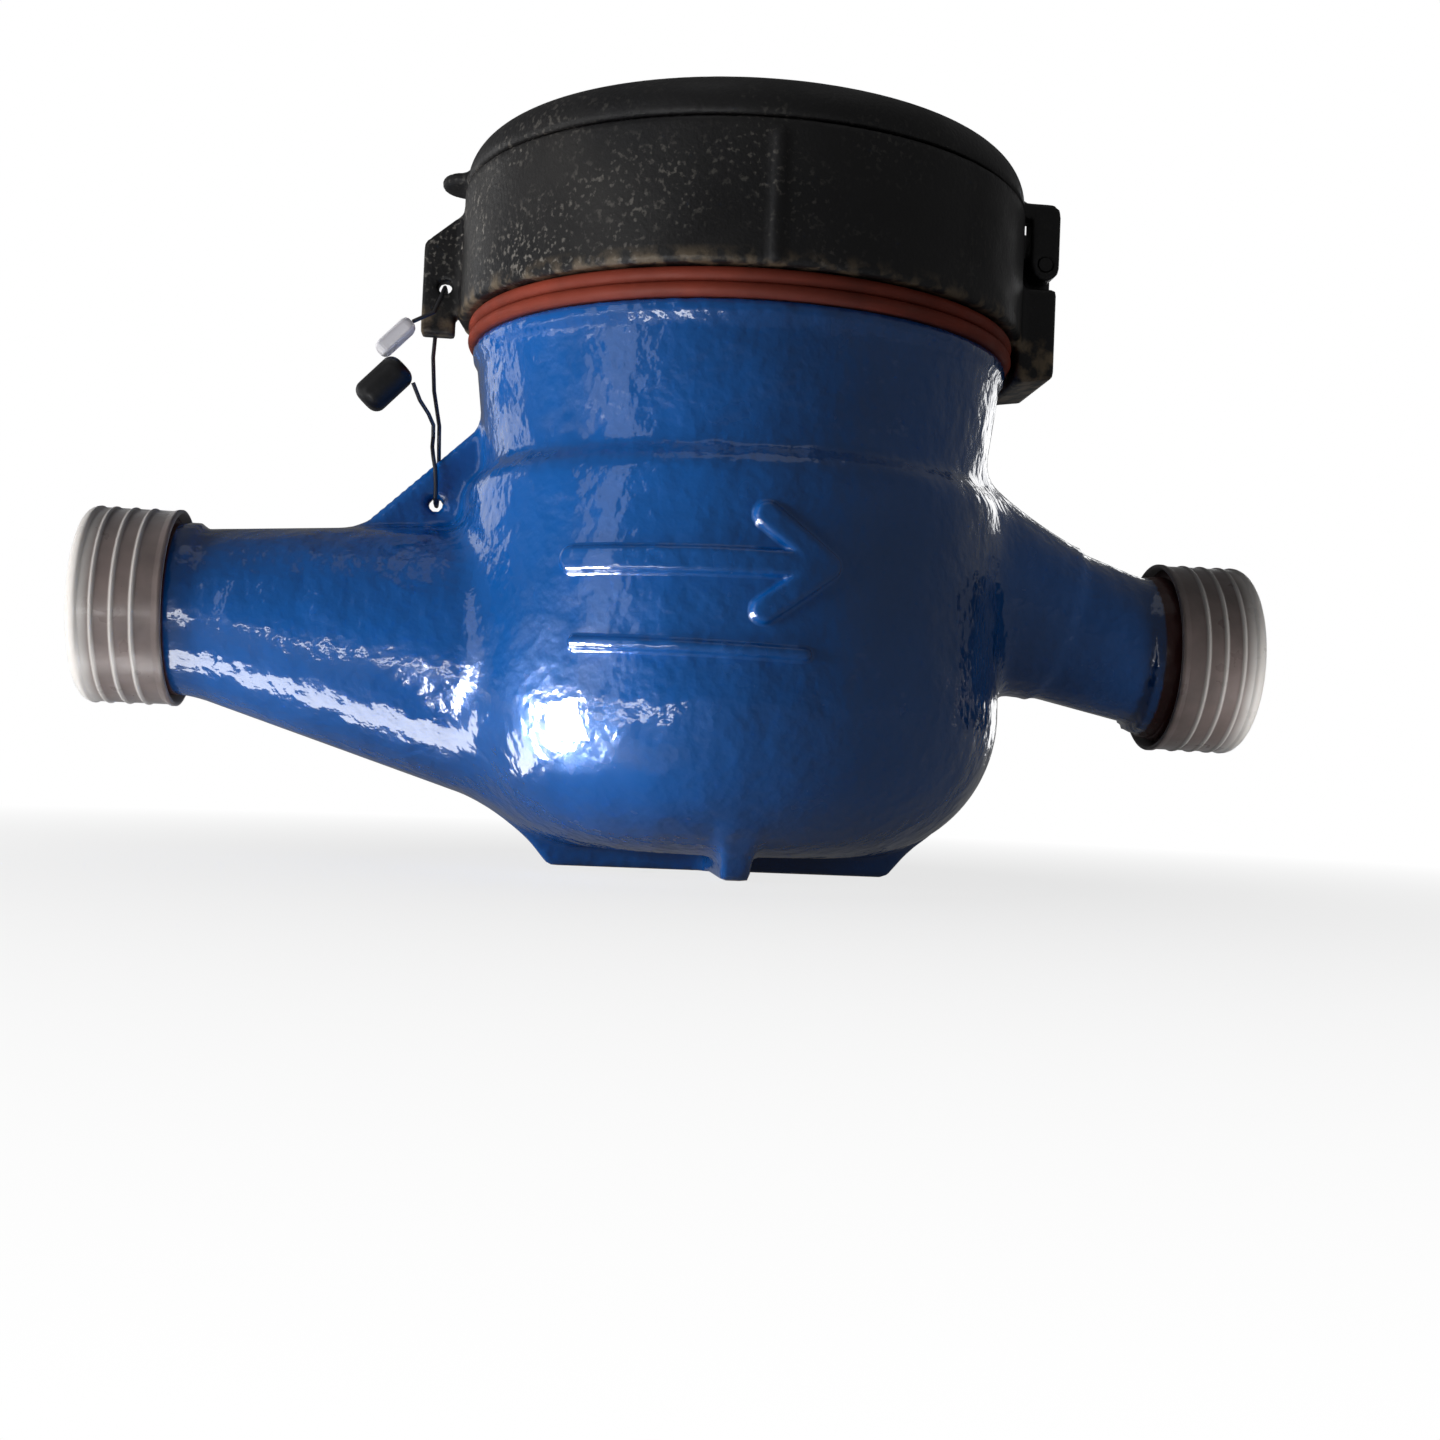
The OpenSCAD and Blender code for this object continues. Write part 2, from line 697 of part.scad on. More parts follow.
module drum_shaft() {
    color("silver")
        translate([-bay_half - shaft_seat, drum_y, drum_z])
            rotate([0, 90, 0]) cylinder(h = 2 * (bay_half + shaft_seat), r = drum_shaft_r);
}

// Number drum, counted from the outlet side
module number_drum(i) {
    middle_x = ((drum_count - 1) / 2 - (i - 1)) * drum_pitch;
    color("black")
        translate([middle_x - drum_w / 2, drum_y, drum_z])
            rotate([0, 90, 0])
                difference() {
                    cylinder(h = drum_w, r = drum_r);
                    translate([0, 0, -1]) cylinder(h = drum_w + 2, r = drum_shaft_r + running_gap);
                }
}

module dial_plate() {
    color("white")
        difference() {
            translate([0, 0, dial_z]) cylinder(h = dial_t, r = plate_r);
            translate([-window_w / 2, drum_y - window_h / 2, dial_z - 1])
                cube([window_w, window_h, dial_t + 2]);
            spindle_holes([second_at, for (i = [0 : 3]) pointer_at(i)], dial_z - 1, dial_t + 2, free_gap);
            dial_screw_holes();
        }
}

// Shank holes of the two dial screws
module dial_screw_holes() {
    for (side = [-1, 1])
        translate([side * dial_screw_at[0], dial_screw_at[1], dial_z - dial_screw_len])
            cylinder(h = dial_screw_len + dial_t + 1, r = dial_screw_r);
}

module dial_screws() {
    head_h = 0.8;
    color("silver")
        for (side = [-1, 1])
            translate([side * dial_screw_at[0], dial_screw_at[1], dial_z - dial_screw_len]) {
                cylinder(h = dial_screw_len + dial_t + eps, r = dial_screw_r);
                translate([0, 0, dial_screw_len + dial_t]) cylinder(h = head_h, r = 2 * dial_screw_r);
            }
}

module leak_star() {
    points = 6;
    color("royalblue")
        translate([second_at[0], second_at[1], pointer_z])
            linear_extrude(height = pointer_t)
                difference() {
                    polygon([
                        for (i = [0 : 2 * points - 1])
                            let (r = i % 2 == 0 ? star_r : star_r / 2, turn = 180 * i / points)
                            r * [cos(turn), sin(turn)]
                    ]);
                    circle(arbor_r);
                }
}

// Needle of a pointer, towards +Y, with the hole for its spindle
module needle() {
    tail_w = 0.7;
    tail = pointer_len / 3;
    hub = arbor_r + tail_w;
    difference() {
        union() {
            circle(hub);
            polygon([[-hub, 0], [-tail_w, -tail], [tail_w, -tail], [hub, 0], [0, pointer_len]]);
        }
        circle(arbor_r);
    }
}

module pointer(i) {
    color("red")
        translate([pointer_at(i)[0], pointer_at(i)[1], 0]) {
            translate([0, 0, pointer_z]) linear_extrude(height = pointer_t) needle();
            if (i > 0)
                translate([0, 0, spindle_foot_z])
                    cylinder(h = pointer_z + pointer_t - spindle_foot_z, r = arbor_r);
        }
}

module glass_gasket() {
    color("black") ring(neck_top_z, glass_gasket_t, neck_bore_r + 0.5, glass_r);
}

module register_glass() {
    color("lightcyan", 0.4) translate([0, 0, glass_z]) cylinder(h = glass_t, r = glass_r);
}

module pressure_ring() {
    color("white") ring(pressure_z, pressure_t, lip_bore_r + 0.5, glass_r);
}

// Neck gasket with rounded outer edges, seated at z
module neck_gasket(z) {
    color("firebrick")
        translate([0, 0, z])
            rotate_extrude() {
                translate([gasket_bore_r, 0]) square([gasket_r - gasket_t / 2 - gasket_bore_r, gasket_t]);
                translate([gasket_r - gasket_t / 2, gasket_t / 2])
                    intersection() {
                        circle(gasket_t / 2);
                        translate([0, -gasket_t / 2]) square([gasket_t, gasket_t]);
                    }
            }
}

// Half outline of the cover ring with its lip over the glass
module ring_outline() {
    bevel = 0.6;
    polygon([
        [ring_bore_r, ring_z], [ring_r - bevel, ring_z], [ring_r, ring_z + bevel],
        [ring_r, ring_top_z - bevel], [ring_r - bevel, ring_top_z],
        [lip_bore_r, ring_top_z], [lip_bore_r, lip_z], [ring_bore_r, lip_z]
    ]);
}

// Ear on the inlet side that takes the seal wire, with its strap down over the gaskets
module seal_ear() {
    top_z = ring_z + 15.4;
    foot_z = ring_z - 2;
    slant = [5, 4.2];
    strap_x = 4.8 - ear_tip_x;
    upright_plate(web_t)
        polygon([
            [ear_root_x, top_z], [slant[0] - ear_tip_x, top_z], [-ear_tip_x, top_z - slant[1]],
            [-ear_tip_x, foot_z], [strap_x, foot_z], [strap_x, ring_z + 1], [ear_root_x, ring_z + 1]
        ]);
}

// Lug on the outlet side: a broad foot and the middle tongue of the hinge
module hinge_lug() {
    upright_plate(hinge_w)
        polygon([
            [lug_root_x, lug_top_z], [lug_x, lug_top_z], [lug_x, lug_foot_z],
            [gasket_r, lug_foot_z - 0.8], [lug_root_x, ring_z]
        ]);
    upright_plate(tongue_w) {
        translate([hinge_x, hinge_z]) circle(ear_r);
        translate([lug_root_x, lug_top_z - 1])
            square([hinge_x - lug_root_x, hinge_z + ear_r - lug_top_z + 1]);
        translate([hinge_x, lug_top_z - 1]) square([lug_x - hinge_x, hinge_z - lug_top_z + 1]);
    }
}

module cover_ring() {
    ridge_w = 1.4;
    ridge_h = 0.5;
    color("dimgray")
        difference() {
            union() {
                rotate_extrude() ring_outline();
                for (side = [-1, 1])
                    translate([-ridge_w / 2, side < 0 ? -ring_r - ridge_h : ring_r - 2, ring_z + 0.6])
                        cube([ridge_w, 2 + ridge_h, ring_top_z - ring_z - 2.4]);
                seal_ear();
                hinge_lug();
            }
            translate([0, 0, ring_z - 10]) cylinder(h = 10, r = gasket_r + free_gap);
            translate([0, 0, ring_z - 1]) cylinder(h = lip_z - ring_z + 1, r = ring_bore_r);
            cross_bar(ear_hole, wire_hole_d / 2, web_t + 2);
            cross_bar([hinge_x, hinge_z], pin_r, hinge_w + 2);
        }
}

// Half outline of a rounded disc that fills the lid down to z, set in from its outside
module lid_outline(z, inset) {
    edge_r = lid_edge_r - inset;
    corner = [lid_r - lid_edge_r, lid_top_z - lid_edge_r];
    translate([0, z]) square([lid_r - inset, corner[1] - z]);
    translate([0, z]) square([corner[0], lid_top_z - inset - z]);
    translate(corner) quarter_disc(edge_r, false);
}

// Outline of one ear of the lid's hinge fork
module lid_ear_outline() {
    corner_r = 2;
    corner_x = hinge_x + ear_r - corner_r;
    root_x = lid_r - lid_wall - 1;
    translate([hinge_x, hinge_z]) circle(ear_r);
    translate([hinge_x - ear_r, hinge_z]) square([2 * ear_r, ear_top_z - corner_r - hinge_z]);
    translate([root_x, lid_z]) square([corner_x - root_x, ear_top_z - lid_z]);
    translate([corner_x, ear_top_z - corner_r]) circle(corner_r);
}

module lid() {
    ear_t = hinge_w / 2 - tongue_w / 2 - free_gap;
    tab_r = 4;
    tab_t = 1.8;
    tab_out = 3.4;
    tab_lift = 0.5;
    color("dimgray")
        difference() {
            union() {
                rotate_extrude() lid_outline(lid_z, 0);
                for (side = [-1, 1])
                    upright_plate(ear_t, side * (hinge_w - ear_t) / 2) lid_ear_outline();
                translate([tab_r - ring_r - tab_out, 0, lid_z + tab_lift]) cylinder(h = tab_t, r = tab_r);
            }
            rotate_extrude() lid_outline(lid_z - 1, lid_wall);
            cross_bar([hinge_x, hinge_z], pin_r + running_gap, hinge_w + 2);
        }
}

module hinge_pin() {
    color("silver") cross_bar([hinge_x, hinge_z], pin_r, hinge_w);
}

// Half outline of a thread cap, from its closed end
module cap_outline() {
    cap_bore_r = thread_r + slide_gap;
    cap_r = cap_bore_r + cap_wall;
    difference() {
        union() {
            square([cap_r - cap_edge_r, cap_len]);
            translate([0, cap_edge_r]) square([cap_r, cap_len - cap_edge_r]);
            translate([cap_r - cap_edge_r, cap_edge_r]) quarter_disc(cap_edge_r, true);
        }
        translate([-1, cap_end]) square([cap_bore_r + 1, cap_len]);
    }
}

module inlet_cap() {
    color("gainsboro", 0.6)
        translate([-inlet_reach - cap_end, 0, pipe_axis_z])
            rotate([0, 90, 0]) rotate_extrude() cap_outline();
}

module outlet_cap() {
    color("gainsboro", 0.6)
        translate([outlet_reach + cap_end, 0, pipe_axis_z])
            rotate([0, -90, 0]) rotate_extrude() cap_outline();
}

// Direction of a path at one of its points
function path_way(path, i) =
    let (a = path[max(i - 1, 0)], b = path[min(i + 1, len(path) - 1)]) (b - a) / norm(b - a);

// Ring of points about a path's point, square to its direction
function path_ring(path, i, r, sides) =
    let (way = path_way(path, i), n = cross(way, [1, 0, 0]), across = n / norm(n), up = cross(way, across))
    [for (k = [0 : sides - 1]) path[i] + r * (cos(360 * k / sides) * across + sin(360 * k / sides) * up)];

// Tube swept along a path
module tube(path, r, sides) {
    last = len(path) - 1;
    polyhedron(
        points = [for (i = [0 : last]) each path_ring(path, i, r, sides)],
        faces = concat(
            [[for (k = [0 : sides - 1]) k]],
            [[for (k = [sides - 1 : -1 : 0]) last * sides + k]],
            [for (i = [0 : last - 1], k = [0 : sides - 1])
                let (a = i * sides, b = a + sides, next = (k + 1) % sides)
                [a + k, b + k, b + next, a + next]]
        )
    );
}

module seal_wire() {
    color("slategray") tube(wire_path, wire_r, wire_sides);
}

module seal_rotor() {
    nose = 0.6;
    span = rotor_head - rotor_tail;
    rotor_len = norm(span);
    color("black")
        translate([rotor_tail[0], seal_y, rotor_tail[1]])
            rotate([0, atan2(span[0], span[1]), 0])
                rotate_extrude()
                    polygon([
                        [0, 0], [rotor_r - nose, 0], [rotor_r, nose], [rotor_r, rotor_len - nose],
                        [rotor_r - nose, rotor_len], [0, rotor_len]
                    ]);
}

module seal_shell() {
    lean = bearing(rotor_tail, rotor_head);
    color("gainsboro", 0.6)
        upright_plate(shell_t, seal_y)
            translate(seal_middle)
                rotate(lean)
                    translate([shell_from, shell_low]) square([shell_to - shell_from, shell_h]);
}

body_casting();
inlet_strainer();
chamber_seal();
measuring_cup();
pivot_pin();
impeller();
impeller_bush();
impeller_shaft();
chamber_cover();
cover_bush();
gear_plate_lower();
gear_plate_upper();
plate_pillars();
gear_first();
gear_second();
gear_third();
register_case();
drum_shaft();
number_drum(1);  // number_drum_1
number_drum(2);  // number_drum_2
number_drum(3);  // number_drum_3
number_drum(4);  // number_drum_4
number_drum(5);  // number_drum_5
dial_plate();
dial_screws();
leak_star();
pointer(0);  // pointer_1_litre
pointer(1);  // pointer_10_litre
pointer(2);  // pointer_100_litre
pointer(3);  // pointer_1000_litre
glass_gasket();
register_glass();
pressure_ring();
neck_gasket(flange_z);  // neck_gasket_lower
neck_gasket(flange_z + gasket_t);  // neck_gasket_upper
cover_ring();
lid();
hinge_pin();
inlet_cap();
outlet_cap();
seal_wire();
seal_rotor();
seal_shell();
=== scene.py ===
"""Looks of a 15 mm multi-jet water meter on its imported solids, laid out as an add-on."""
import json
import math
from types import SimpleNamespace

import bpy
import numpy as np
from mathutils import Matrix, Vector


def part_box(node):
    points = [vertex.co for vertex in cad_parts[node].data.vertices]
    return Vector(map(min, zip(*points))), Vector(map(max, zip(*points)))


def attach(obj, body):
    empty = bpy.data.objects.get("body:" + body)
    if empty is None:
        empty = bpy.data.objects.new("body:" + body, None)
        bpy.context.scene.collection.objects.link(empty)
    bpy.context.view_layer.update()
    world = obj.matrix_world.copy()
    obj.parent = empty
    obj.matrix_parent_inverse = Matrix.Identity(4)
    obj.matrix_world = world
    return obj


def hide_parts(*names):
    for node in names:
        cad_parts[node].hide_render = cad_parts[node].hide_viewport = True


bl_info = {
    "name": "Water meter",
    "version": (1, 0, 0),
    "blender": (4, 5, 0),
    "location": "View3D > Sidebar > Water meter",
    "description": "Enamelled casting, moulded cover, thread caps, wire seal and dial of a water meter",
    "category": "Object",
}

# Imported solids, and the places in millimetres that the looks take from them
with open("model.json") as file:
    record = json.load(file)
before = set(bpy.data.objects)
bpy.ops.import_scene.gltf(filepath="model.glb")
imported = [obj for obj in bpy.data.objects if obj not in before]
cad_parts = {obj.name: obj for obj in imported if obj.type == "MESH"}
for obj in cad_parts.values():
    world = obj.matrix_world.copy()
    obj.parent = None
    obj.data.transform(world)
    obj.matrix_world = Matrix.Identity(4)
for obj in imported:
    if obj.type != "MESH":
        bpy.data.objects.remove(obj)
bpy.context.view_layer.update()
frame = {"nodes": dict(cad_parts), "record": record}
NODES = frame["nodes"]
MM = 0.001
ROOT = "meter_body"


def corners(node):
    """Lowest and highest corner of a solid, in millimetres."""
    low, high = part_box(node)
    return np.array(low) / MM, np.array(high) / MM


BODY_LOW, BODY_HIGH = corners("body_casting")
RING_LOW, RING_HIGH = corners("cover_ring")
LID_LOW, LID_HIGH = corners("lid")
GASKET_LOW, GASKET_HIGH = corners("neck_gasket_lower")
PIN_LOW, PIN_HIGH = corners("hinge_pin")
INLET_CAP_LOW, INLET_CAP_HIGH = corners("inlet_cap")
OUTLET_CAP_HIGH = corners("outlet_cap")[1]
DIAL_HIGH = corners("dial_plate")[1]
PIPE_Z = (INLET_CAP_LOW[2] + INLET_CAP_HIGH[2]) / 2
HINGE = (PIN_LOW + PIN_HIGH) / 2
FLOW = np.array((1.0, 0.0, 0.0))
PRINT_LIFT = 0.03


def length(name, description, default):
    """Size property, its default given in millimetres."""
    return bpy.props.FloatProperty(name=name, description=description, default=default * MM, unit="LENGTH",
                                   precision=5)


def colour(name, description, default):
    """Colour property in linear red, green and blue."""
    return bpy.props.FloatVectorProperty(name=name, description=description, default=default, size=3,
                                         subtype="COLOR", min=0, max=1)


class CastingSettings(bpy.types.PropertyGroup):
    """Sizes and colours of the enamelled casting."""
    barrel_radius: length("Barrel radius", "Radius of the barrel at its draft height", 39.2)
    barrel_draft: bpy.props.FloatProperty(name="Draft", description="Slope of the barrel's side",
                                          default=0.018)
    draft_height: length("Draft height", "Height at which the barrel has its radius", 40)
    barrel_wall: length("Barrel wall", "Wall of the barrel", 5.2)
    dome_radius: length("Dome radius", "Rounding of the barrel's bottom", 21)
    floor_height: length("Floor height", "Height of the barrel's bottom", 3)
    floor_wall: length("Floor wall", "Wall of the barrel's bottom", 4)
    shoulder_height: length("Shoulder height", "Height of the barrel's shoulder", 56)
    shoulder_radius: length("Shoulder radius", "Rounding of the shoulder", 4.5)
    neck_foot_height: length("Neck foot height", "Height of the neck's foot inside the barrel", 44)
    neck_foot_radius: length("Neck foot radius", "Radius of the neck at its foot", 34.6)
    neck_top_radius: length("Neck top radius", "Radius of the neck under its flange", 38.2)
    neck_bore: length("Neck bore", "Inner radius of the neck", 31.5)
    flange_radius: length("Flange radius", "Radius of the neck's flange", 38.6)
    flange_thickness: length("Flange thickness", "Thickness of the neck's flange", 2)
    spigot_radius: length("Spigot radius", "Radius of the seat inside the cover ring", 36.3)
    spigot_foot: length("Spigot foot", "Height of the seat's foot inside the neck", 60)
    chamber_rounding: length("Chamber rounding", "Rounding of the lower chamber's floor", 15.8)
    ledge_height: length("Ledge height", "Top of the partition inside", 34)
    ledge_thickness: length("Ledge thickness", "Thickness of the partition inside", 3)
    ledge_bore: length("Ledge bore", "Radius of the hole in the partition", 29.2)
    bore_radius: length("Bore radius", "Radius of the pipe bores", 7.5)
    passage_radius: length("Passage radius", "Radius of the slanted passages", 8.1)
    passage_height: length("Passage height", "Height where the inlet passage meets its chamber", 20)
    thread_root: length("Thread root", "Radius at the bottom of the threads", 12.06)
    thread_radius: length("Thread radius", "Radius at the top of the threads", 13.2)
    thread_length: length("Thread length", "Length of each thread", 12)
    thread_pitch: length("Thread pitch", "Pitch of the threads", 1.814)
    inlet_end_radius: length("Inlet end radius", "Radius of the inlet nozzle at its thread", 11.4)
    inlet_root_radius: length("Inlet root radius", "Radius of the inlet nozzle at the barrel", 21.2)
    inlet_root_depth: length("Inlet root depth", "How far the inlet nozzle reaches into the barrel", 13)
    inlet_root_height: length("Inlet root height", "Height of the inlet nozzle's axis at its root", 28)
    inlet_collar: length("Inlet collar", "Radius of the collar behind the inlet thread", 12.2)
    outlet_end_radius: length("Outlet end radius", "Radius of the outlet nozzle at its thread", 10.4)
    outlet_core_radius: length("Outlet core radius", "Radius of the nozzle's core at the barrel", 12.4)
    outlet_waist_radius: length("Outlet waist radius", "Radius where the outlet nozzle starts to flare", 11)
    outlet_root_radius: length("Outlet root radius", "Radius of the nozzle's flare at the barrel", 17)
    outlet_root_depth: length("Outlet root depth", "How far the outlet nozzle reaches into the barrel", 8)
    outlet_root_height: length("Outlet root height", "Height of the outlet nozzle's axis at its root", 43.4)
    outlet_collar: length("Outlet collar", "Radius of the collar behind the outlet thread", 11.4)
    collar_length: length("Collar length", "Length of the collars behind the threads", 2.5)
    foot_reach: length("Foot reach", "Half length of the foot ribs on the ground", 24.6)
    foot_flare: length("Foot flare", "How far the foot ribs widen above the ground", 6)
    foot_side: length("Foot side", "Height of the foot ribs at their ends", 7.2)
    foot_crown: length("Foot crown", "Height of the foot ribs in the middle", 13.2)
    foot_thickness: length("Foot thickness", "Thickness of the foot ribs", 4)
    web_reach: length("Web reach", "How far the seal web runs out from the barrel", 16.3)
    web_root: length("Web root", "Distance of the seal web's root from the barrel's axis", 34)
    web_drop: length("Web drop", "How far the seal web starts below the shoulder", 10.7)
    web_rise: length("Web rise", "How far the seal web ends above the shoulder", 9.6)
    web_thickness: length("Web thickness", "Thickness of the seal web", 3)
    hole_out: length("Hole out", "Distance of the seal hole from the barrel", 3.8)
    hole_drop: length("Hole drop", "Distance of the seal hole below the shoulder", 5)
    hole_radius: length("Hole radius", "Radius of the seal hole", 1)
    fillet: length("Fillet", "Reach of the blends between nozzles and barrel", 3)
    mesh_step: length("Mesh step", "Spacing of the casting's mesh", 0.92)
    mark_height: length("Mark height", "How far the flow arrow stands out", 0.95)
    mark_stroke: length("Mark stroke", "Width of the flow arrow's strokes", 3.2)
    mark_step: length("Mark step", "Spacing of the flow arrow's mesh", 0.36)
    enamel: colour("Enamel", "Blue of the enamel", (0.002, 0.092, 0.36))
    primer: colour("Primer", "Dull red of the primed threads", (0.075, 0.016, 0.012))


class CoverSettings(bpy.types.PropertyGroup):
    """Sizes and colours of the cover ring, the lid and the gaskets."""
    ring_wall: length("Ring wall", "Wall of the cover ring", 4.4)
    lip_depth: length("Lip depth", "Depth of the ring's lip over the glass", 3.7)
    lip_width: length("Lip width", "How far the ring's lip reaches in from its bore", 5.9)
    lid_gap: length("Lid gap", "Gap between the ring and the lid", 0.2)
    lid_wall: length("Lid wall", "Wall of the lid", 2)
    lid_crown: length("Lid crown", "Rounding of the lid's top edge", 5.5)
    tab_radius: length("Tab radius", "Radius of the lid's thumb tab", 4)
    ear_reach: length("Ear reach", "How far the seal ear stands out from the ring", 5.5)
    ear_thickness: length("Ear thickness", "Thickness of the seal ear", 3)
    hole_out: length("Hole out", "Distance of the seal hole from the ring", 2.3)
    hole_rise: length("Hole rise", "Height of the seal hole above the ring's foot", 4.9)
    hole_radius: length("Hole radius", "Radius of the seal hole and of the ring's pin hole", 1)
    knuckle_radius: length("Knuckle radius", "Radius of the hinge knuckles", 2.2)
    tongue_half: length("Tongue half", "Half width of the ring's hinge tongue", 5)
    fork_half: length("Fork half", "Half width of each arm of the lid's hinge fork", 1.85)
    mesh_step: length("Mesh step", "Spacing of the cover's mesh", 0.62)
    edge: length("Edge", "Rounding of moulded edges", 0.7)
    black: colour("Black", "Black of the moulded cover", (0.008, 0.008, 0.009))
    dust: colour("Dust", "Pale dust on the cover", (0.30, 0.28, 0.25))
    crust: colour("Crust", "Brown crust along the ring's foot", (0.36, 0.27, 0.17))
    gasket: colour("Gasket", "Brick red of the gaskets", (0.21, 0.034, 0.018))


class CapSettings(bpy.types.PropertyGroup):
    """Sizes and colours of the thread caps."""
    wall: length("Wall", "Wall of a cap", 0.6)
    end: length("End", "Thickness of a cap's closed end", 1.2)
    dish: length("Dish", "Depth of the dish in the closed end", 0.25)
    edge: length("Edge", "Rounding of the closed end", 1.6)
    rings: bpy.props.IntProperty(name="Rings", description="Thin ridges round a cap", default=3)
    first_ring: length("First ring", "Distance of the first ridge from the closed end", 3.6)
    ring_pitch: length("Ring pitch", "Distance from ridge to ridge", 2.65)
    ring_height: length("Ring height", "How far a ridge stands out", 0.22)
    ring_width: length("Ring width", "Width of a ridge at its foot", 0.9)
    milky: colour("Milky", "Milky plastic of the caps", (0.68, 0.65, 0.62))
    # Painted shade: the dark thread seen through the wall, laid into the cap's colour
    shadow: colour("Shadow", "Tone where the thread shows through", (0.19, 0.15, 0.14))


class StageSettings(bpy.types.PropertyGroup):
    """Camera and floor."""
    camera_place: bpy.props.FloatVectorProperty(name="Camera", description="Place of the camera", size=3,
                                                subtype="TRANSLATION",
                                                default=(-0.025258, -0.256104, 0.013966))
    camera_yaw: bpy.props.FloatProperty(name="Yaw", description="Turn of the view about the vertical",
                                        subtype="ANGLE", default=-0.09634)
    camera_pitch: bpy.props.FloatProperty(name="Pitch", description="Rise of the view", subtype="ANGLE",
                                          default=0.03107)
    camera_roll: bpy.props.FloatProperty(name="Roll", description="Roll of the view", subtype="ANGLE",
                                         default=0.04294)
    lens: bpy.props.FloatProperty(name="Lens", description="Focal length", unit="CAMERA", default=44.03)
    sensor: bpy.props.FloatProperty(name="Sensor", description="Width of the camera's frame", unit="CAMERA",
                                    default=36)
    floor: colour("Floor", "Pale floor", (0.5, 0.5, 0.5))
    room: bpy.props.FloatProperty(name="Room", description="Strength of the light from all round",
                                  default=0.035)


# Distance fields and the meshes made of them, in millimetres


def smooth_union(a, b, blend):
    """Union of two distance fields with a rounded inner corner."""
    h = np.clip(0.5 + 0.5 * (b - a) / blend, 0, 1)
    return b + (a - b) * h - blend * h * (1 - h)


def smooth_cut(a, b, blend):
    """First field with the second taken away, its edge rounded."""
    return -smooth_union(-a, b, blend)


def smooth_meet(a, b, blend):
    """What two fields share, its edge rounded."""
    return -smooth_union(-a, -b, blend)


def round_bar(p, start, end, r_start, r_end):
    """Distance to a cone with flat ends between two points."""
    axis = np.subtract(end, start, dtype=float)
    reach = np.linalg.norm(axis)
    axis /= reach
    d = p - np.asarray(start, dtype=float)
    along = d @ axis
    radial = np.sqrt(np.maximum((d * d).sum(1) - along * along, 0))
    r = r_start + (r_end - r_start) * np.clip(along / reach, 0, 1)
    lean = math.cos(math.atan2(abs(r_end - r_start), reach))
    return np.maximum((radial - r) * lean, np.abs(along - reach / 2) - reach / 2)


def turned_disc(radius, z, outer, low, high, edge):
    """Distance to a disc with rounded edges, from the radius about its axis and the height along it."""
    x = radius - outer + edge
    y = np.abs(z - (low + high) / 2) - (high - low) / 2 + edge
    return np.minimum(np.maximum(x, y), 0) + np.hypot(np.maximum(x, 0), np.maximum(y, 0)) - edge


def block(p, low, high, edge):
    """Distance to a box with rounded edges."""
    middle = (np.asarray(low) + np.asarray(high)) / 2
    q = np.abs(p - middle) - (np.asarray(high) - np.asarray(low)) / 2 + edge
    return np.minimum(q.max(1), 0) + np.linalg.norm(np.maximum(q, 0), axis=1) - edge


def convex_plate(across, flat, outline, thickness, edge):
    """Distance to a plate of a convex outline, given counter-clockwise in the plane of flat."""
    d = np.abs(across) - thickness / 2 + edge
    for (x0, y0), (x1, y1) in zip(outline, outline[1:] + outline[:1]):
        side = math.hypot(x1 - x0, y1 - y0)
        out = ((flat[:, 0] - x0) * (y1 - y0) - (flat[:, 1] - y0) * (x1 - x0)) / side
        d = smooth_meet(d, out + edge, edge)
    return d - edge


def settle(field, points, step):
    """Moves points onto the zero level of a field along its slope."""
    probe = 0.02 * step
    for _ in range(4):
        value = field(points)
        slope = np.empty_like(points)
        for i in range(3):
            shift = np.zeros(3)
            shift[i] = probe
            slope[:, i] = (field(points + shift) - field(points - shift)) / (2 * probe)
        size = np.maximum((slope * slope).sum(1), 0.1)
        points = points - np.clip(value / size, -step / 2, step / 2)[:, None] * slope
    return points


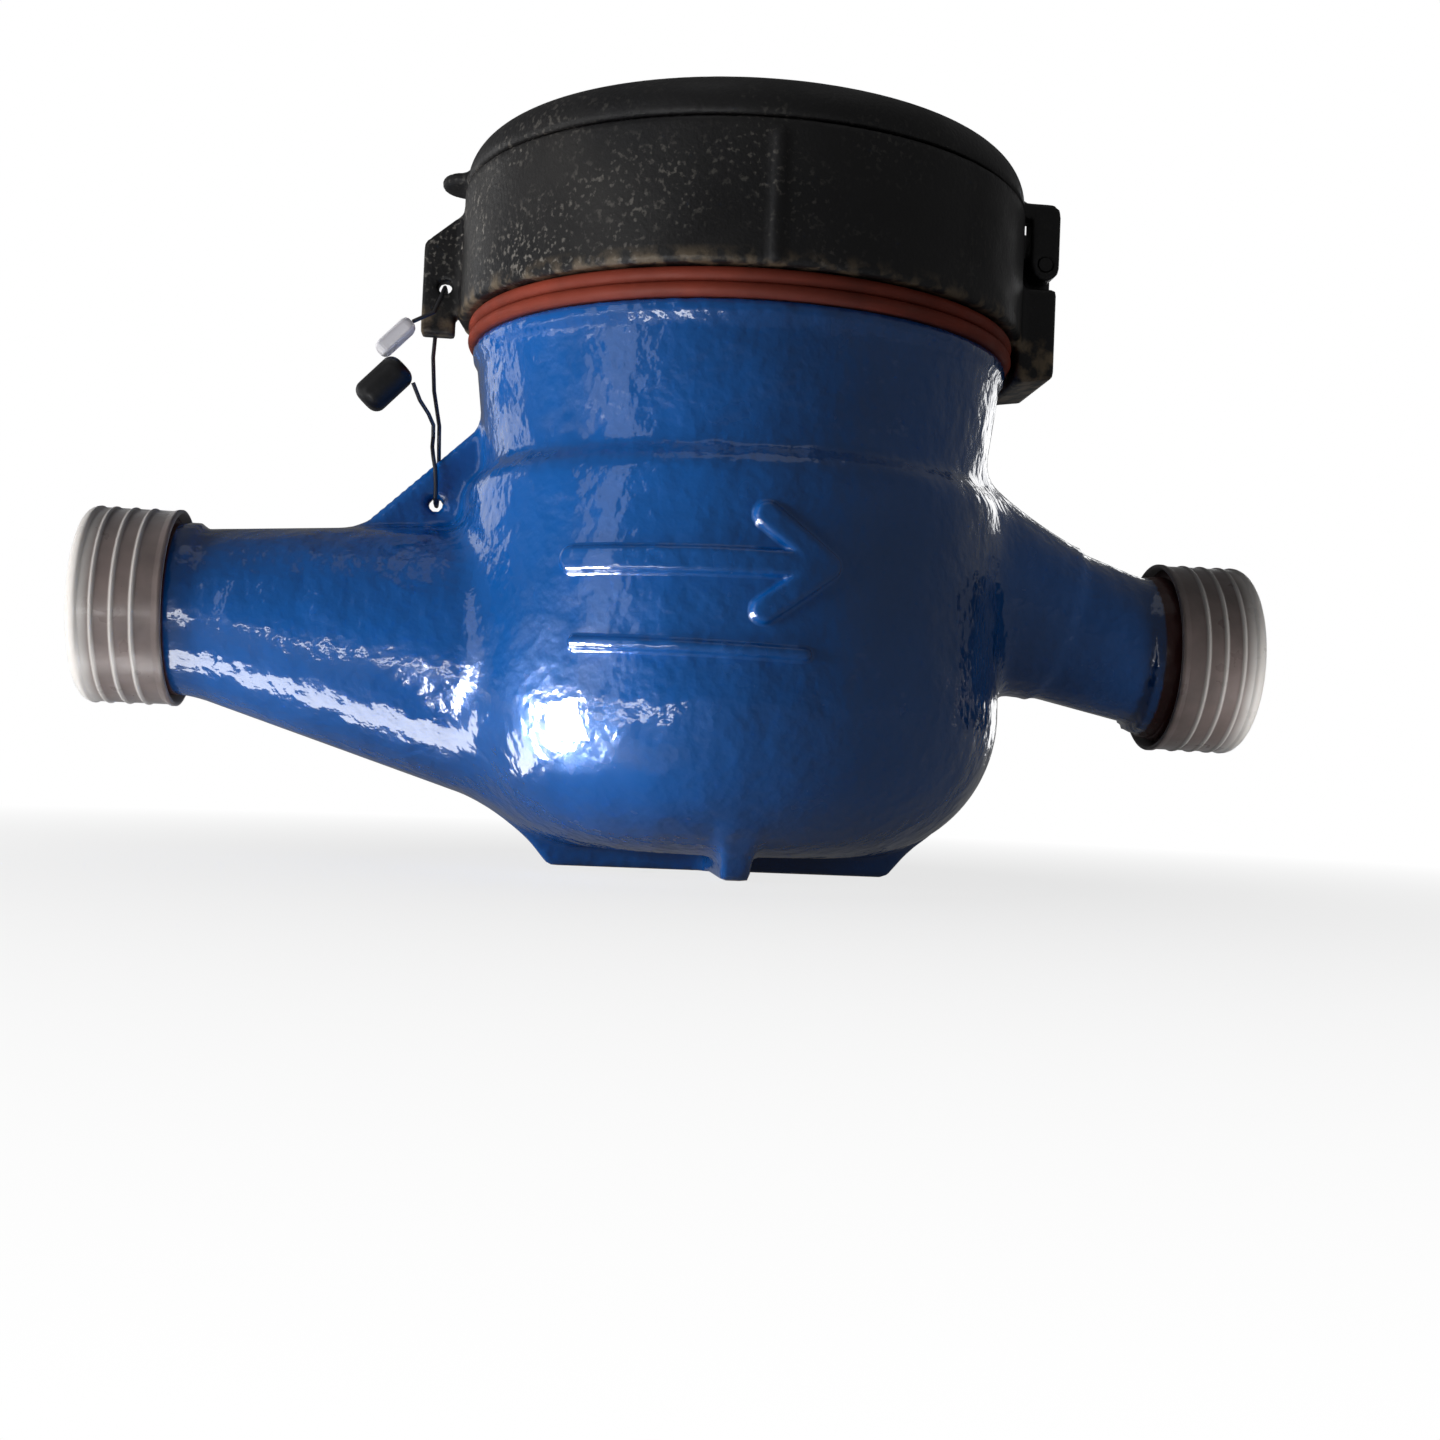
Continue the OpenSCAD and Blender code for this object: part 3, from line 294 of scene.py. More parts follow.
def surface_net(field, low, high, step):
    """Vertices and quads of the zero level of a distance field inside a box."""
    low = np.asarray(low, dtype=float)
    counts = np.ceil((np.asarray(high) - low) / step).astype(int) + 1
    axes = [low[i] + step * np.arange(counts[i]) for i in range(3)]
    grid = np.stack(np.meshgrid(*axes, indexing="ij"), -1).reshape(-1, 3)
    value = field(grid).reshape(counts)
    inside = value < 0
    cells = counts - 1
    filled = np.zeros(cells, dtype=int)
    for i, j, k in np.ndindex(2, 2, 2):
        filled += inside[i:cells[0] + i, j:cells[1] + j, k:cells[2] + k]
    mixed = (filled > 0) & (filled < 8)
    at = np.argwhere(mixed)
    number = np.full(cells, -1)
    number[mixed] = np.arange(len(at))
    total = np.zeros((len(at), 3))
    hits = np.zeros(len(at))
    units = np.eye(3, dtype=int)
    for a in range(3):
        for i, j in np.ndindex(2, 2):
            start = at + i * units[(a + 1) % 3] + j * units[(a + 2) % 3]
            f0 = value[tuple(start.T)]
            f1 = value[tuple((start + units[a]).T)]
            cross = (f0 < 0) != (f1 < 0)
            share = np.where(cross, f0 / np.where(cross, f0 - f1, 1), 0)
            total += np.where(cross[:, None], start + share[:, None] * units[a], 0)
            hits += cross
    points = settle(field, low + step * total / hits[:, None], step)
    quads = []
    for a in range(3):
        b, c = units[(a + 1) % 3], units[(a + 2) % 3]
        lower = np.moveaxis(inside, a, 0)[:-1]
        upper = np.moveaxis(inside, a, 0)[1:]
        edge = np.argwhere(np.moveaxis(lower != upper, 0, a))
        other = [(a + 1) % 3, (a + 2) % 3]
        edge = edge[(edge[:, other] > 0).all(1) & (edge[:, other] < cells[other]).all(1)]
        ring = [number[tuple((edge + s).T)] for s in (-b - c, -c, 0 * b, -b)]
        face = np.stack(ring, 1)
        rising = inside[tuple(edge.T)]
        quads.append(np.where(rising[:, None], face, face[:, ::-1]))
    return points, np.concatenate(quads)


def new_piece(name, points, faces, finish, body, replaced=()):
    """Mesh piece from millimetre points, riding on a body."""
    mesh = bpy.data.meshes.new(name)
    if isinstance(faces, np.ndarray):
        faces = faces.tolist()
    mesh.from_pydata((np.asarray(points) * MM).tolist(), [], faces)
    mesh.validate()
    mesh.polygons.foreach_set("use_smooth", np.ones(len(mesh.polygons), dtype=bool))
    piece = bpy.data.objects.new(name, mesh)
    bpy.context.scene.collection.objects.link(piece)
    mesh.materials.append(finish)
    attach(piece, body)
    if replaced:
        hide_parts(*replaced)
    return piece


def in_mm(group):
    """Settings of a group, its lengths in millimetres."""
    values = {}
    for key, entry in group.bl_rna.properties.items():
        if key not in ("rna_type", "name"):
            value = getattr(group, key)
            values[key] = value / MM if entry.unit == "LENGTH" else value
    return SimpleNamespace(**values)


def barrel_side(s, z):
    """Radius of the drafted barrel at a height."""
    return s.barrel_radius + s.barrel_draft * (s.draft_height - z)


def casting_field(s):
    """Distance field of the casting with its chambers, passages and bores."""
    far = 200
    plate_edge = 0.7
    flange_z = GASKET_LOW[2]
    inlet_neck = np.array((BODY_LOW[0] + s.thread_length, 0, PIPE_Z))
    outlet_neck = np.array((BODY_HIGH[0] - s.thread_length, 0, PIPE_Z))
    inlet_root = (s.inlet_root_depth - s.barrel_radius, 0, s.inlet_root_height)
    outlet_root = (s.barrel_radius - s.outlet_root_depth, 0, s.outlet_root_height)
    outlet_waist = (outlet_neck + outlet_root) / 2
    collars = ((inlet_neck, FLOW, s.inlet_collar), (outlet_neck, -FLOW, s.outlet_collar))
    web_low = s.shoulder_height - s.web_drop
    web = [(-s.barrel_radius - s.web_reach, web_low), (-s.web_root, web_low),
           (-s.web_root, s.shoulder_height + s.web_rise)]
    flare = s.foot_reach + s.foot_flare
    rib = [(-s.foot_reach, 0), (s.foot_reach, 0), (flare, s.foot_side), (0, s.foot_crown),
           (-flare, s.foot_side)]
    chamber = s.barrel_radius - s.barrel_wall
    ledge_low = s.ledge_height - s.ledge_thickness
    ledge_middle = s.ledge_height - s.ledge_thickness / 2
    upper_middle, upper_half = 44, 10
    bore_low = upper_middle + upper_half - 1
    mouth = s.thread_length + 1
    passages = (
        (inlet_neck - mouth * FLOW, inlet_neck + 7 * FLOW, s.bore_radius),
        (inlet_neck + 5.5 * FLOW, (2 - chamber, 0, s.passage_height), s.passage_radius),
        (outlet_neck + mouth * FLOW, outlet_neck - 4.5 * FLOW, s.bore_radius),
        (outlet_neck - 3 * FLOW, (chamber - 3, 0, upper_middle), s.passage_radius),
    )

    def barrel(p, radius):
        z = p[:, 2]
        side = barrel_side(s, z)
        d = np.maximum(turned_disc(radius, z, side, s.floor_height, far, s.dome_radius),
                       turned_disc(radius, z, side, -far / 2, s.shoulder_height, s.shoulder_radius))
        neck = round_bar(p, (0, 0, s.neck_foot_height), (0, 0, flange_z - 1), s.neck_foot_radius,
                         s.neck_top_radius)
        d = smooth_union(d, neck, 1.8)
        flange = turned_disc(radius, z, s.flange_radius, flange_z - s.flange_thickness, flange_z,
                             plate_edge)
        d = smooth_union(d, flange, 1)
        return np.minimum(d, turned_disc(radius, z, s.spigot_radius, s.spigot_foot, BODY_HIGH[2], 0.5))

    def nozzles(p, d):
        inlet = round_bar(p, inlet_neck, inlet_root, s.inlet_end_radius, s.inlet_root_radius)
        core = round_bar(p, outlet_neck, outlet_root, s.outlet_end_radius, s.outlet_core_radius)
        flared = round_bar(p, outlet_waist, outlet_root, s.outlet_waist_radius, s.outlet_root_radius)
        d = smooth_union(d, inlet, s.fillet)
        d = smooth_union(d, smooth_union(core, flared, 3), s.fillet)
        for neck, way, r in collars:
            d = smooth_union(d, round_bar(p, neck, neck + s.collar_length * way, r, r), 0.9)
            root = round_bar(p, neck - s.thread_length * way, neck + way, s.thread_root, s.thread_root)
            d = np.minimum(d, root)
        return d

    def hollows(p, radius):
        z = p[:, 2]
        lower = turned_disc(radius, z, chamber, s.floor_height + s.floor_wall, far, s.chamber_rounding)
        d = np.maximum(lower, z - ledge_low)
        d = np.minimum(d, np.maximum(radius - s.ledge_bore, np.abs(z - ledge_middle) - s.ledge_thickness))
        d = np.minimum(d, np.maximum(radius - chamber, np.abs(z - upper_middle) - upper_half))
        d = np.minimum(d, np.maximum(radius - s.neck_bore, bore_low - z))
        for start, end, r in passages:
            d = np.minimum(d, round_bar(p, start, end, r, r))
        return d

    def field(p):
        x, y, z = p.T
        radius = np.hypot(x, y)
        d = nozzles(p, barrel(p, radius))
        for across, flat in ((y, p[:, (0, 2)]), (x, p[:, (1, 2)])):
            d = smooth_union(d, convex_plate(across, flat, rib, s.foot_thickness, plate_edge), 2)
        d = smooth_union(d, convex_plate(y, p[:, (0, 2)], web, s.web_thickness, plate_edge), 1.6)
        d = smooth_cut(np.maximum(d, -z), hollows(p, radius), 0.6)
        from_hole = np.hypot(x + s.barrel_radius + s.hole_out, z - s.shoulder_height + s.hole_drop)
        return smooth_cut(d, np.maximum(from_hole - s.hole_radius, np.abs(y) - s.web_thickness - 1), 0.8)

    return field


def stroke(u, v, path, half):
    """Distance in a plane to a line of points drawn with a round pen."""
    d = np.full(u.shape, 1e3)
    for (u0, v0), (u1, v1) in zip(path, path[1:]):
        du, dv = u1 - u0, v1 - v0
        t = np.clip(((u - u0) * du + (v - v0) * dv) / (du * du + dv * dv), 0, 1)
        d = np.minimum(d, np.hypot(u - u0 - t * du, v - v0 - t * dv))
    return d - half


def mark_field(s):
    """Distance field of the raised flow arrow and rule, with a thin skin on the barrel round them."""
    half = s.mark_stroke / 2
    shaft = [(-25, 40.6), (8, 40.6)]
    head = [(0.6, 46.6), (8.6, 40.6), (0.6, 34.6)]
    rule = [(-24, 30), (6, 29.4)]
    skin, skirt, root = 0.04, 1.6, 1

    def field(p):
        x, y, z = p.T
        out = np.hypot(x, y) - barrel_side(s, z)
        around = np.arctan2(x, -y) * s.barrel_radius
        flat = stroke(around, z, rule, half * 0.45)
        for line in (shaft, head):
            flat = np.minimum(flat, stroke(around, z, line, half))
        raised = smooth_meet(flat, out - s.mark_height, 0.7)
        d = smooth_union(out + skin, raised, 0.8)
        return np.maximum(np.maximum(d, flat - skirt), -out - root)

    return field


def ring_field(s):
    """Distance field of the cover ring with its seal ear, ridges and hinge lug."""
    low, high = GASKET_HIGH[2] + (GASKET_HIGH[2] - GASKET_LOW[2]), RING_HIGH[2]
    outer = LID_HIGH[1] + s.lid_gap
    bore = outer - s.ring_wall
    lip_z = high - s.lip_depth
    hx, hz = HINGE[0], HINGE[2]
    lug_x, lug_top = hx + 1.8, hz - 3.5
    lug_width = PIN_HIGH[1] * 2
    tongue_y = s.tongue_half
    ear_x, ear_root = -outer - s.ear_reach, 3 - outer
    strap = [(ear_x, low - 2), (ear_x + 4.8, low - 2), (ear_x + 4.8, low + 10), (ear_x, low + 10)]
    ear = [(ear_x, low + 1), (ear_root, low + 1), (ear_root, low + 15.4), (ear_x + 5, low + 15.4),
           (ear_x, low + 11.2)]
    lug = [(outer - 1.8, low), (outer - 1.3, low - 5.2), (lug_x, low - 4.4), (lug_x, lug_top),
           (outer - 1.8, lug_top)]
    ridge_half = 0.7

    def field(p):
        x, y, z = p.T
        flat = p[:, (0, 2)]
        radius = np.hypot(x, y)
        from_pin = np.hypot(x - hx, z - hz)
        d = turned_disc(radius, z, outer, low, high, s.edge)
        for way in (-1, 1):
            ridge = block(p, (-ridge_half, way * outer - 0.5, low + 0.6),
                          (ridge_half, way * outer + 0.5, high - 1.8), 0.3)
            d = smooth_union(d, ridge, 0.6)
        seal_ear = np.minimum(convex_plate(y, flat, strap, s.ear_thickness, 0.5),
                              convex_plate(y, flat, ear, s.ear_thickness, 0.5))
        d = smooth_union(d, seal_ear, 1)
        d = smooth_union(d, convex_plate(y, flat, lug, lug_width, s.edge), 1)
        tongue = np.maximum(from_pin - s.knuckle_radius, np.abs(y) - tongue_y)
        for start, end in (
            ((outer - 2, -tongue_y, lug_top - 1), (hx, tongue_y, hz + s.knuckle_radius)),
            ((hx - 1, -tongue_y, lug_top - 1), (lug_x, tongue_y, hz)),
        ):
            tongue = np.minimum(tongue, block(p, start, end, 0.2))
        d = smooth_union(d, tongue, 0.5)
        cut = np.maximum(radius - bore, z - lip_z)
        cut = np.minimum(cut, np.maximum(radius - bore + s.lip_width, lip_z - 1 - z))
        cut = np.minimum(cut, np.maximum(radius - GASKET_HIGH[0] - 0.3, z - low))
        cut = np.minimum(cut, np.hypot(x + outer + s.hole_out, z - low - s.hole_rise) - s.hole_radius)
        cut = np.minimum(cut, from_pin - s.hole_radius)
        return smooth_cut(d, cut, 0.5)

    return field


def lid_field(s):
    """Distance field of the lid with its thumb tab and hinge fork."""
    far = 200
    low, high, outer = RING_HIGH[2] + s.lid_gap, LID_HIGH[2], LID_HIGH[1]
    hx, hz = HINGE[0], HINGE[2]
    half = s.fork_half
    arm_y = PIN_HIGH[1] - half
    arm_top = low + 2.2
    pin_hole = s.hole_radius + 0.05

    def field(p):
        x, y, z = p.T
        radius = np.hypot(x, y)
        from_pin = np.hypot(x - hx, z - hz)
        d = np.maximum(turned_disc(radius, z, outer, low - 20, high, s.lid_crown),
                       turned_disc(radius, z, outer, low, far, 0.5))
        from_tab = np.hypot(x + outer - 0.4, y)
        d = smooth_union(d, turned_disc(from_tab, z, s.tab_radius, low + 0.5, low + 2.3, 0.85), 0.8)
        q = np.stack([x, np.abs(y) - arm_y, z], 1)
        arm = np.maximum(from_pin - s.knuckle_radius, np.abs(q[:, 1]) - half)
        for start, end in (
            ((hx - s.knuckle_radius, -half, hz), (hx + s.knuckle_radius, half, arm_top)),
            ((outer - 3, -half, low), (hx + 1, half, arm_top)),
        ):
            arm = np.minimum(arm, block(q, start, end, 0.3))
        bend = np.hypot(np.maximum(x - hx - 0.2, 0), np.maximum(z - arm_top + 2, 0)) - 2
        d = smooth_union(d, smooth_meet(arm, bend, 0.4), 0.9)
        hollow = turned_disc(radius, z, outer - s.lid_wall, low - 20, high - s.lid_wall, 3.5)
        hollow = np.minimum(hollow, from_pin - pin_hole)
        return smooth_cut(d, hollow, 0.4)

    return field


def lathe(profile, start, way, count=96):
    """Points and faces of a closed profile, as along and radius, turned about a line along X."""
    turn = np.linspace(0, 2 * np.pi, count, endpoint=False)
    points = [(start[0] + way * a, start[1] + r * math.cos(t), start[2] + r * math.sin(t))
              for a, r in profile for t in turn]
    faces = []
    for i in range(len(profile)):
        j = (i + 1) % len(profile)
        for k in range(count):
            n = (k + 1) % count
            face = (i * count + k, i * count + n, j * count + n, j * count + k)
            faces.append(face if way > 0 else face[::-1])
    return points, faces


def screw_thread(s, start, way):
    """Points and faces of a closed helical ridge along X that fades at both ends."""
    per_turn, fade_steps = 72, 30
    steps = int(per_turn * (s.thread_length / s.thread_pitch - 1))
    loop = ((-0.52, -0.35), (-0.4, 0), (-0.1, 1), (0.1, 1), (0.4, 0), (0.52, -0.35))
    points = []
    for i in range(steps + 1):
        turn = 2 * math.pi * i / per_turn
        fade = min(1, i / fade_steps, (steps - i) / fade_steps)
        for across, rise in loop:
            height = rise if rise < 0 else rise * fade
            r = s.thread_root + (s.thread_radius - s.thread_root) * height
            along = start[0] + way * s.thread_pitch * (i / per_turn + 0.5 + across)
            points.append((along, start[1] + r * math.sin(turn), start[2] + r * math.cos(turn)))
    size = len(loop)
    faces = [tuple(range(size)), tuple(steps * size + k for k in reversed(range(size)))]
    for i in range(steps):
        for k in range(size):
            n = (k + 1) % size
            faces.append((i * size + k, (i + 1) * size + k, (i + 1) * size + n, i * size + n))
    return points, faces if way > 0 else [face[::-1] for face in faces]


# Finishes, in metres


class Finish:
    """Material with one Principled shader and short calls for procedural detail."""

    def __init__(self, name, **sockets):
        self.material = bpy.data.materials.new(name)
        self.material.use_nodes = True
        self.tree = self.material.node_tree
        self.shader = self.tree.nodes["Principled BSDF"]
        self.place = self.add("ShaderNodeTexCoord").outputs["Object"]
        self.normal = None
        self.set(**sockets)

    def add(self, kind, sockets=None, **settings):
        """New node with its sockets fed and its settings made."""
        node = self.tree.nodes.new(kind)
        for key, value in settings.items():
            setattr(node, key, value)
        for key, value in (sockets or {}).items():
            self.feed(node.inputs[key], value)
        return node

    def feed(self, socket, value):
        """Links a socket to another one, or sets its value."""
        if isinstance(value, bpy.types.NodeSocket):
            self.tree.links.new(value, socket)
        elif socket.type == "RGBA":
            socket.default_value = (*value, 1)
        else:
            socket.default_value = value

    def set(self, **sockets):
        """Sets the shader's sockets, their names written in small letters with underscores."""
        for socket in self.shader.inputs:
            key = socket.name.lower().replace(" ", "_")
            if key in sockets:
                self.feed(socket, sockets.pop(key))
        if sockets:
            raise KeyError(f"no such socket: {sorted(sockets)}")

    def noise(self, scale, detail):
        sockets = {"Vector": self.place, "Scale": scale, "Detail": detail}
        return self.add("ShaderNodeTexNoise", sockets).outputs["Fac"]

    def cells(self, scale):
        return self.add("ShaderNodeTexVoronoi", {"Vector": self.place, "Scale": scale}).outputs["Distance"]

    def spread(self, source, low, high, to_low=0.0, to_high=1.0):
        """Value between two ends brought to another range and held inside it."""
        return self.add("ShaderNodeMapRange", {"Value": source, "From Min": low, "From Max": high,
                                               "To Min": to_low, "To Max": to_high}).outputs["Result"]

    def math(self, operation, a, b=0.0):
        node = self.add("ShaderNodeMath", operation=operation)
        self.feed(node.inputs[0], a)
        self.feed(node.inputs[1], b)
        return node.outputs["Value"]

    def times(self, a, b):
        return self.math("MULTIPLY", a, b)

    def most(self, a, b):
        return self.math("MAXIMUM", a, b)

    def away(self, a, b):
        """How far a value is from another, either way."""
        return self.math("ABSOLUTE", self.math("SUBTRACT", a, b))

    def mix(self, share, a, b):
        node = self.add("ShaderNodeMix", data_type="RGBA")
        self.feed(node.inputs[0], share)
        self.feed(node.inputs[6], a)
        self.feed(node.inputs[7], b)
        return node.outputs[2]

    def bump(self, height, distance, strength):
        """Lays one more layer of relief on the shader's normal."""
        sockets = {"Height": height, "Distance": distance, "Strength": strength}
        if self.normal:
            sockets["Normal"] = self.normal
        self.normal = self.add("ShaderNodeBump", sockets).outputs["Normal"]
        self.set(normal=self.normal)


def shade(rgb, factor):
    """Colour made lighter or darker."""
    return tuple(min(1.0, c * factor) for c in rgb)


def enamel_finish(name, s):
    """Glossy enamel over a lumpy casting, with dull red primer on the threads."""
    f = Finish(name, ior=1.45, coat_weight=1.0, coat_ior=1.55, coat_roughness=0.035)
    # The enamel ends at the threads
    x = f.add("ShaderNodeSeparateXYZ", {"Vector": f.place}).outputs["X"]
    start = BODY_LOW[0] * MM + s.thread_length - 0.0003
    end = BODY_HIGH[0] * MM - s.thread_length - 0.0014
    half = (end - start) / 2
    bare = f.spread(f.away(x, (start + end) / 2), half, half + 0.0003)
    tone = f.spread(f.noise(38, 3), 0.35, 0.65)
    blue = f.mix(tone, shade(s.enamel, 0.82), shade(s.enamel, 1.15))
    rough = f.spread(f.noise(160, 3), 0.3, 0.7, 0.16, 0.28)
    f.set(base_color=f.mix(bare, blue, tuple(s.primer)), roughness=f.most(rough, f.times(bare, 0.5)),
          coat_weight=f.spread(bare, 0.0, 1.0, 1.0, 0.15))
    # Lumps of the sand mould, runs of the enamel, fine ripple and pinholes
    f.bump(f.noise(46, 1.5), 0.0016, 0.55)
    f.bump(f.noise(210, 2), 0.0007, 0.7)
    f.bump(f.noise(620, 2), 0.00022, 0.6)
    f.bump(f.spread(f.cells(190), 0.0, 0.12), 0.00012, 0.3)
    f.set(coat_normal=f.normal)
    return f.material


def cover_finish(name, s):
    """Black moulded plastic with a grain, settled dust and a brown crust along its foot."""
    f = Finish(name, ior=1.5)
    axes = f.add("ShaderNodeSeparateXYZ", {"Vector": f.place}).outputs
    # Specks and a grey veil, stronger towards the inlet side and weaker on the lid
    inlet_side_share = f.spread(axes["X"], 0.03, -0.035, 0.1, 1.0)
    lid_z = RING_HIGH[2] * MM
    inlet_side_share = f.times(inlet_side_share, f.spread(axes["Z"], lid_z - 0.001, lid_z + 0.003, 1.0, 0.3))
    patches = f.spread(f.noise(95, 4), 0.4, 0.68)
    specks = f.times(f.times(f.spread(f.noise(1300, 2), 0.56, 0.68), patches), inlet_side_share)
    veil = f.times(f.spread(f.noise(60, 3), 0.35, 0.7, 0.0, 0.1), inlet_side_share)
    foot_z = RING_LOW[2] * MM
    foot = f.spread(axes["Z"], foot_z + 0.0075, foot_z + 0.0045)
    crust = f.times(f.spread(f.noise(420, 4), 0.46, 0.62), foot)
    black = f.mix(veil, tuple(s.black), shade(s.dust, 0.6))
    black = f.mix(f.times(specks, 0.55), black, tuple(s.dust))
    f.set(base_color=f.mix(f.times(crust, 0.5), black, tuple(s.crust)),
          roughness=f.spread(f.noise(90, 3), 0.3, 0.7, 0.36, 0.62))
    f.bump(f.noise(1900, 2), 0.00012, 0.6)
    f.bump(f.noise(80, 2), 0.0005, 0.25)
    return f.material


def plain_finish(name, rgb, rough, grain=900, vary=0.12, depth=0.00005, **more):
    """Moulded or turned surface with a light change of tone and a fine grain."""
    f = Finish(name, **more)
    tone = f.spread(f.noise(120, 3), 0.3, 0.7)
    f.set(base_color=f.mix(tone, shade(rgb, 1 - vary), shade(rgb, 1 + vary)),
          roughness=f.spread(f.noise(grain / 3, 2), 0.3, 0.7, max(rough - 0.08, 0), rough + 0.1))
    f.bump(f.noise(grain, 2), depth, 0.5)
    return f.material


def cap_finish(name, s):
    """Milky soft plastic, with painted shade where the thread shows through its wall."""
    f = Finish(name, ior=1.51, subsurface_weight=0.25, subsurface_radius=(1, 0.9, 0.8),
               subsurface_scale=0.0015, sheen_weight=0.5, sheen_roughness=0.4)
    x = f.add("ShaderNodeSeparateXYZ", {"Vector": f.place}).outputs["X"]
    middle = (INLET_CAP_LOW[0] + OUTLET_CAP_HIGH[0]) / 2 * MM
    far = (OUTLET_CAP_HIGH[0] - INLET_CAP_LOW[0]) / 2 * MM
    from_end = f.away(f.away(x, middle), far)
    # The plastic is thick, and so pale, at the closed end, at the rim and at each ridge
    thick = f.spread(from_end, 0.0034, 0.0018)
    thick = f.most(thick, f.spread(from_end, 0.0128, 0.0134))
    for k in range(s.rings):
        off = f.away(from_end, s.first_ring + s.ring_pitch * k)
        thick = f.most(thick, f.spread(off, 0.00045, 0.00015, 0.0, 0.75))
    # Painted shade of the thread seen through the wall, varied at random, where the plastic is thin
    cloud = f.spread(f.noise(170, 3), 0.3, 0.7)
    see_through_shade = f.mix(cloud, shade(s.shadow, 0.75), shade(s.shadow, 1.25))
    f.set(base_color=f.mix(thick, see_through_shade, tuple(s.milky)),
          roughness=f.spread(f.noise(260, 3), 0.3, 0.7, 0.26, 0.42))
    f.bump(f.noise(140, 2), 0.0005, 0.4)
    f.bump(f.noise(900, 2), 0.00006, 0.4)
    return f.material


def all_finishes(scene):
    """Finish of each material slot."""
    casting, cover, cap = scene.meter_casting, scene.meter_cover, scene.meter_cap
    return {
        "body_enamel": enamel_finish("body_enamel", casting),
        "cover_black": cover_finish("cover_black", cover),
        "gasket_red": plain_finish("gasket_red", cover.gasket, 0.62, 700, 0.2, 0.0001),
        "cap_milky": cap_finish("cap_milky", cap),
        "seal_black": plain_finish("seal_black", (0.012, 0.012, 0.013), 0.38),
        "seal_clear": plain_finish("seal_clear", (0.78, 0.77, 0.8), 0.3, ior=1.49,
                                   transmission_weight=0.35),
        "steel": plain_finish("steel", (0.5, 0.5, 0.5), 0.32, 1600, 0.1, 0.00003, metallic=1.0),
        "chamber_ivory": plain_finish("chamber_ivory", (0.66, 0.6, 0.46), 0.42),
        "impeller_white": plain_finish("impeller_white", (0.78, 0.78, 0.74), 0.36),
        "bush_red": plain_finish("bush_red", (0.3, 0.02, 0.02), 0.3),
        "seal_rubber": plain_finish("seal_rubber", (0.014, 0.014, 0.014), 0.7, 600, 0.3),
        "plate_brass": plain_finish("plate_brass", (0.62, 0.42, 0.13), 0.28, 1400, 0.12, 0.00003,
                                    metallic=1.0),
        "gear_white": plain_finish("gear_white", (0.8, 0.79, 0.73), 0.33),
        "case_grey": plain_finish("case_grey", (0.42, 0.43, 0.43), 0.45),
        "drum_black": plain_finish("drum_black", (0.01, 0.01, 0.01), 0.4),
        "dial_white": plain_finish("dial_white", (0.82, 0.82, 0.79), 0.4),
        "pointer_red": plain_finish("pointer_red", (0.55, 0.012, 0.01), 0.3),
        "star_blue": plain_finish("star_blue", (0.01, 0.05, 0.36), 0.3),
        "dial_glass": Finish("dial_glass", base_color=(0.96, 0.99, 0.97), roughness=0.02, ior=1.52,
                             transmission_weight=1.0).material,
    }


def finish_of(slot_name):
    """Material already made for a slot."""
    return bpy.data.materials[slot_name]


# Steps, in the order in which main runs them


class METER_OT_finishes(bpy.types.Operator):
    """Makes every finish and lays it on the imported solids"""
    bl_idname = "meter.finishes"
    bl_label = "Finishes"

    def execute(self, context):
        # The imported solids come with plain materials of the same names
        for plain in list(bpy.data.materials):
            bpy.data.materials.remove(plain)
        finishes = all_finishes(context.scene)
        for entry in frame["record"]["subparts"]:
            mesh = NODES[entry["node"]].data
            mesh.materials.clear()
            mesh.materials.append(finishes[entry["material_slot"]])
        return {"FINISHED"}


class METER_OT_casting(bpy.types.Operator):
    """Builds the blended casting, its raised flow arrow and its pipe threads"""
    bl_idname = "meter.casting"
    bl_label = "Casting"

    def execute(self, context):
        s = in_mm(context.scene.meter_casting)
        enamel = finish_of("body_enamel")
        points, faces = surface_net(casting_field(s), BODY_LOW - 1.2, BODY_HIGH + 1.2, s.mesh_step)
        new_piece("casting_shell", points, faces, enamel, ROOT, ["body_casting"])
        mark_low, mark_high = (-28, -41.5, 26), (22, -28, 52)
        points, faces = surface_net(mark_field(s), mark_low, mark_high, s.mark_step)
        new_piece("flow_arrow", points, faces, enamel, ROOT)
        for name, start, way in (("inlet_thread", BODY_LOW[0], 1), ("outlet_thread", BODY_HIGH[0], -1)):
            points, faces = screw_thread(s, (start, 0, PIPE_Z), way)
            new_piece(name, points, faces, enamel, ROOT)
        return {"FINISHED"}


class METER_OT_cover(bpy.types.Operator):
    """Builds the moulded cover ring and the lid"""
    bl_idname = "meter.cover"
    bl_label = "Cover"

    def execute(self, context):
        s = in_mm(context.scene.meter_cover)
        black = finish_of("cover_black")
        points, faces = surface_net(ring_field(s), RING_LOW - 1, RING_HIGH + 1, s.mesh_step)
        new_piece("moulded_ring", points, faces, black, ROOT, ["cover_ring"])
        points, faces = surface_net(lid_field(s), LID_LOW - 1, LID_HIGH + 1, s.mesh_step)
        new_piece("moulded_lid", points, faces, black, "lid", ["lid"])
        return {"FINISHED"}


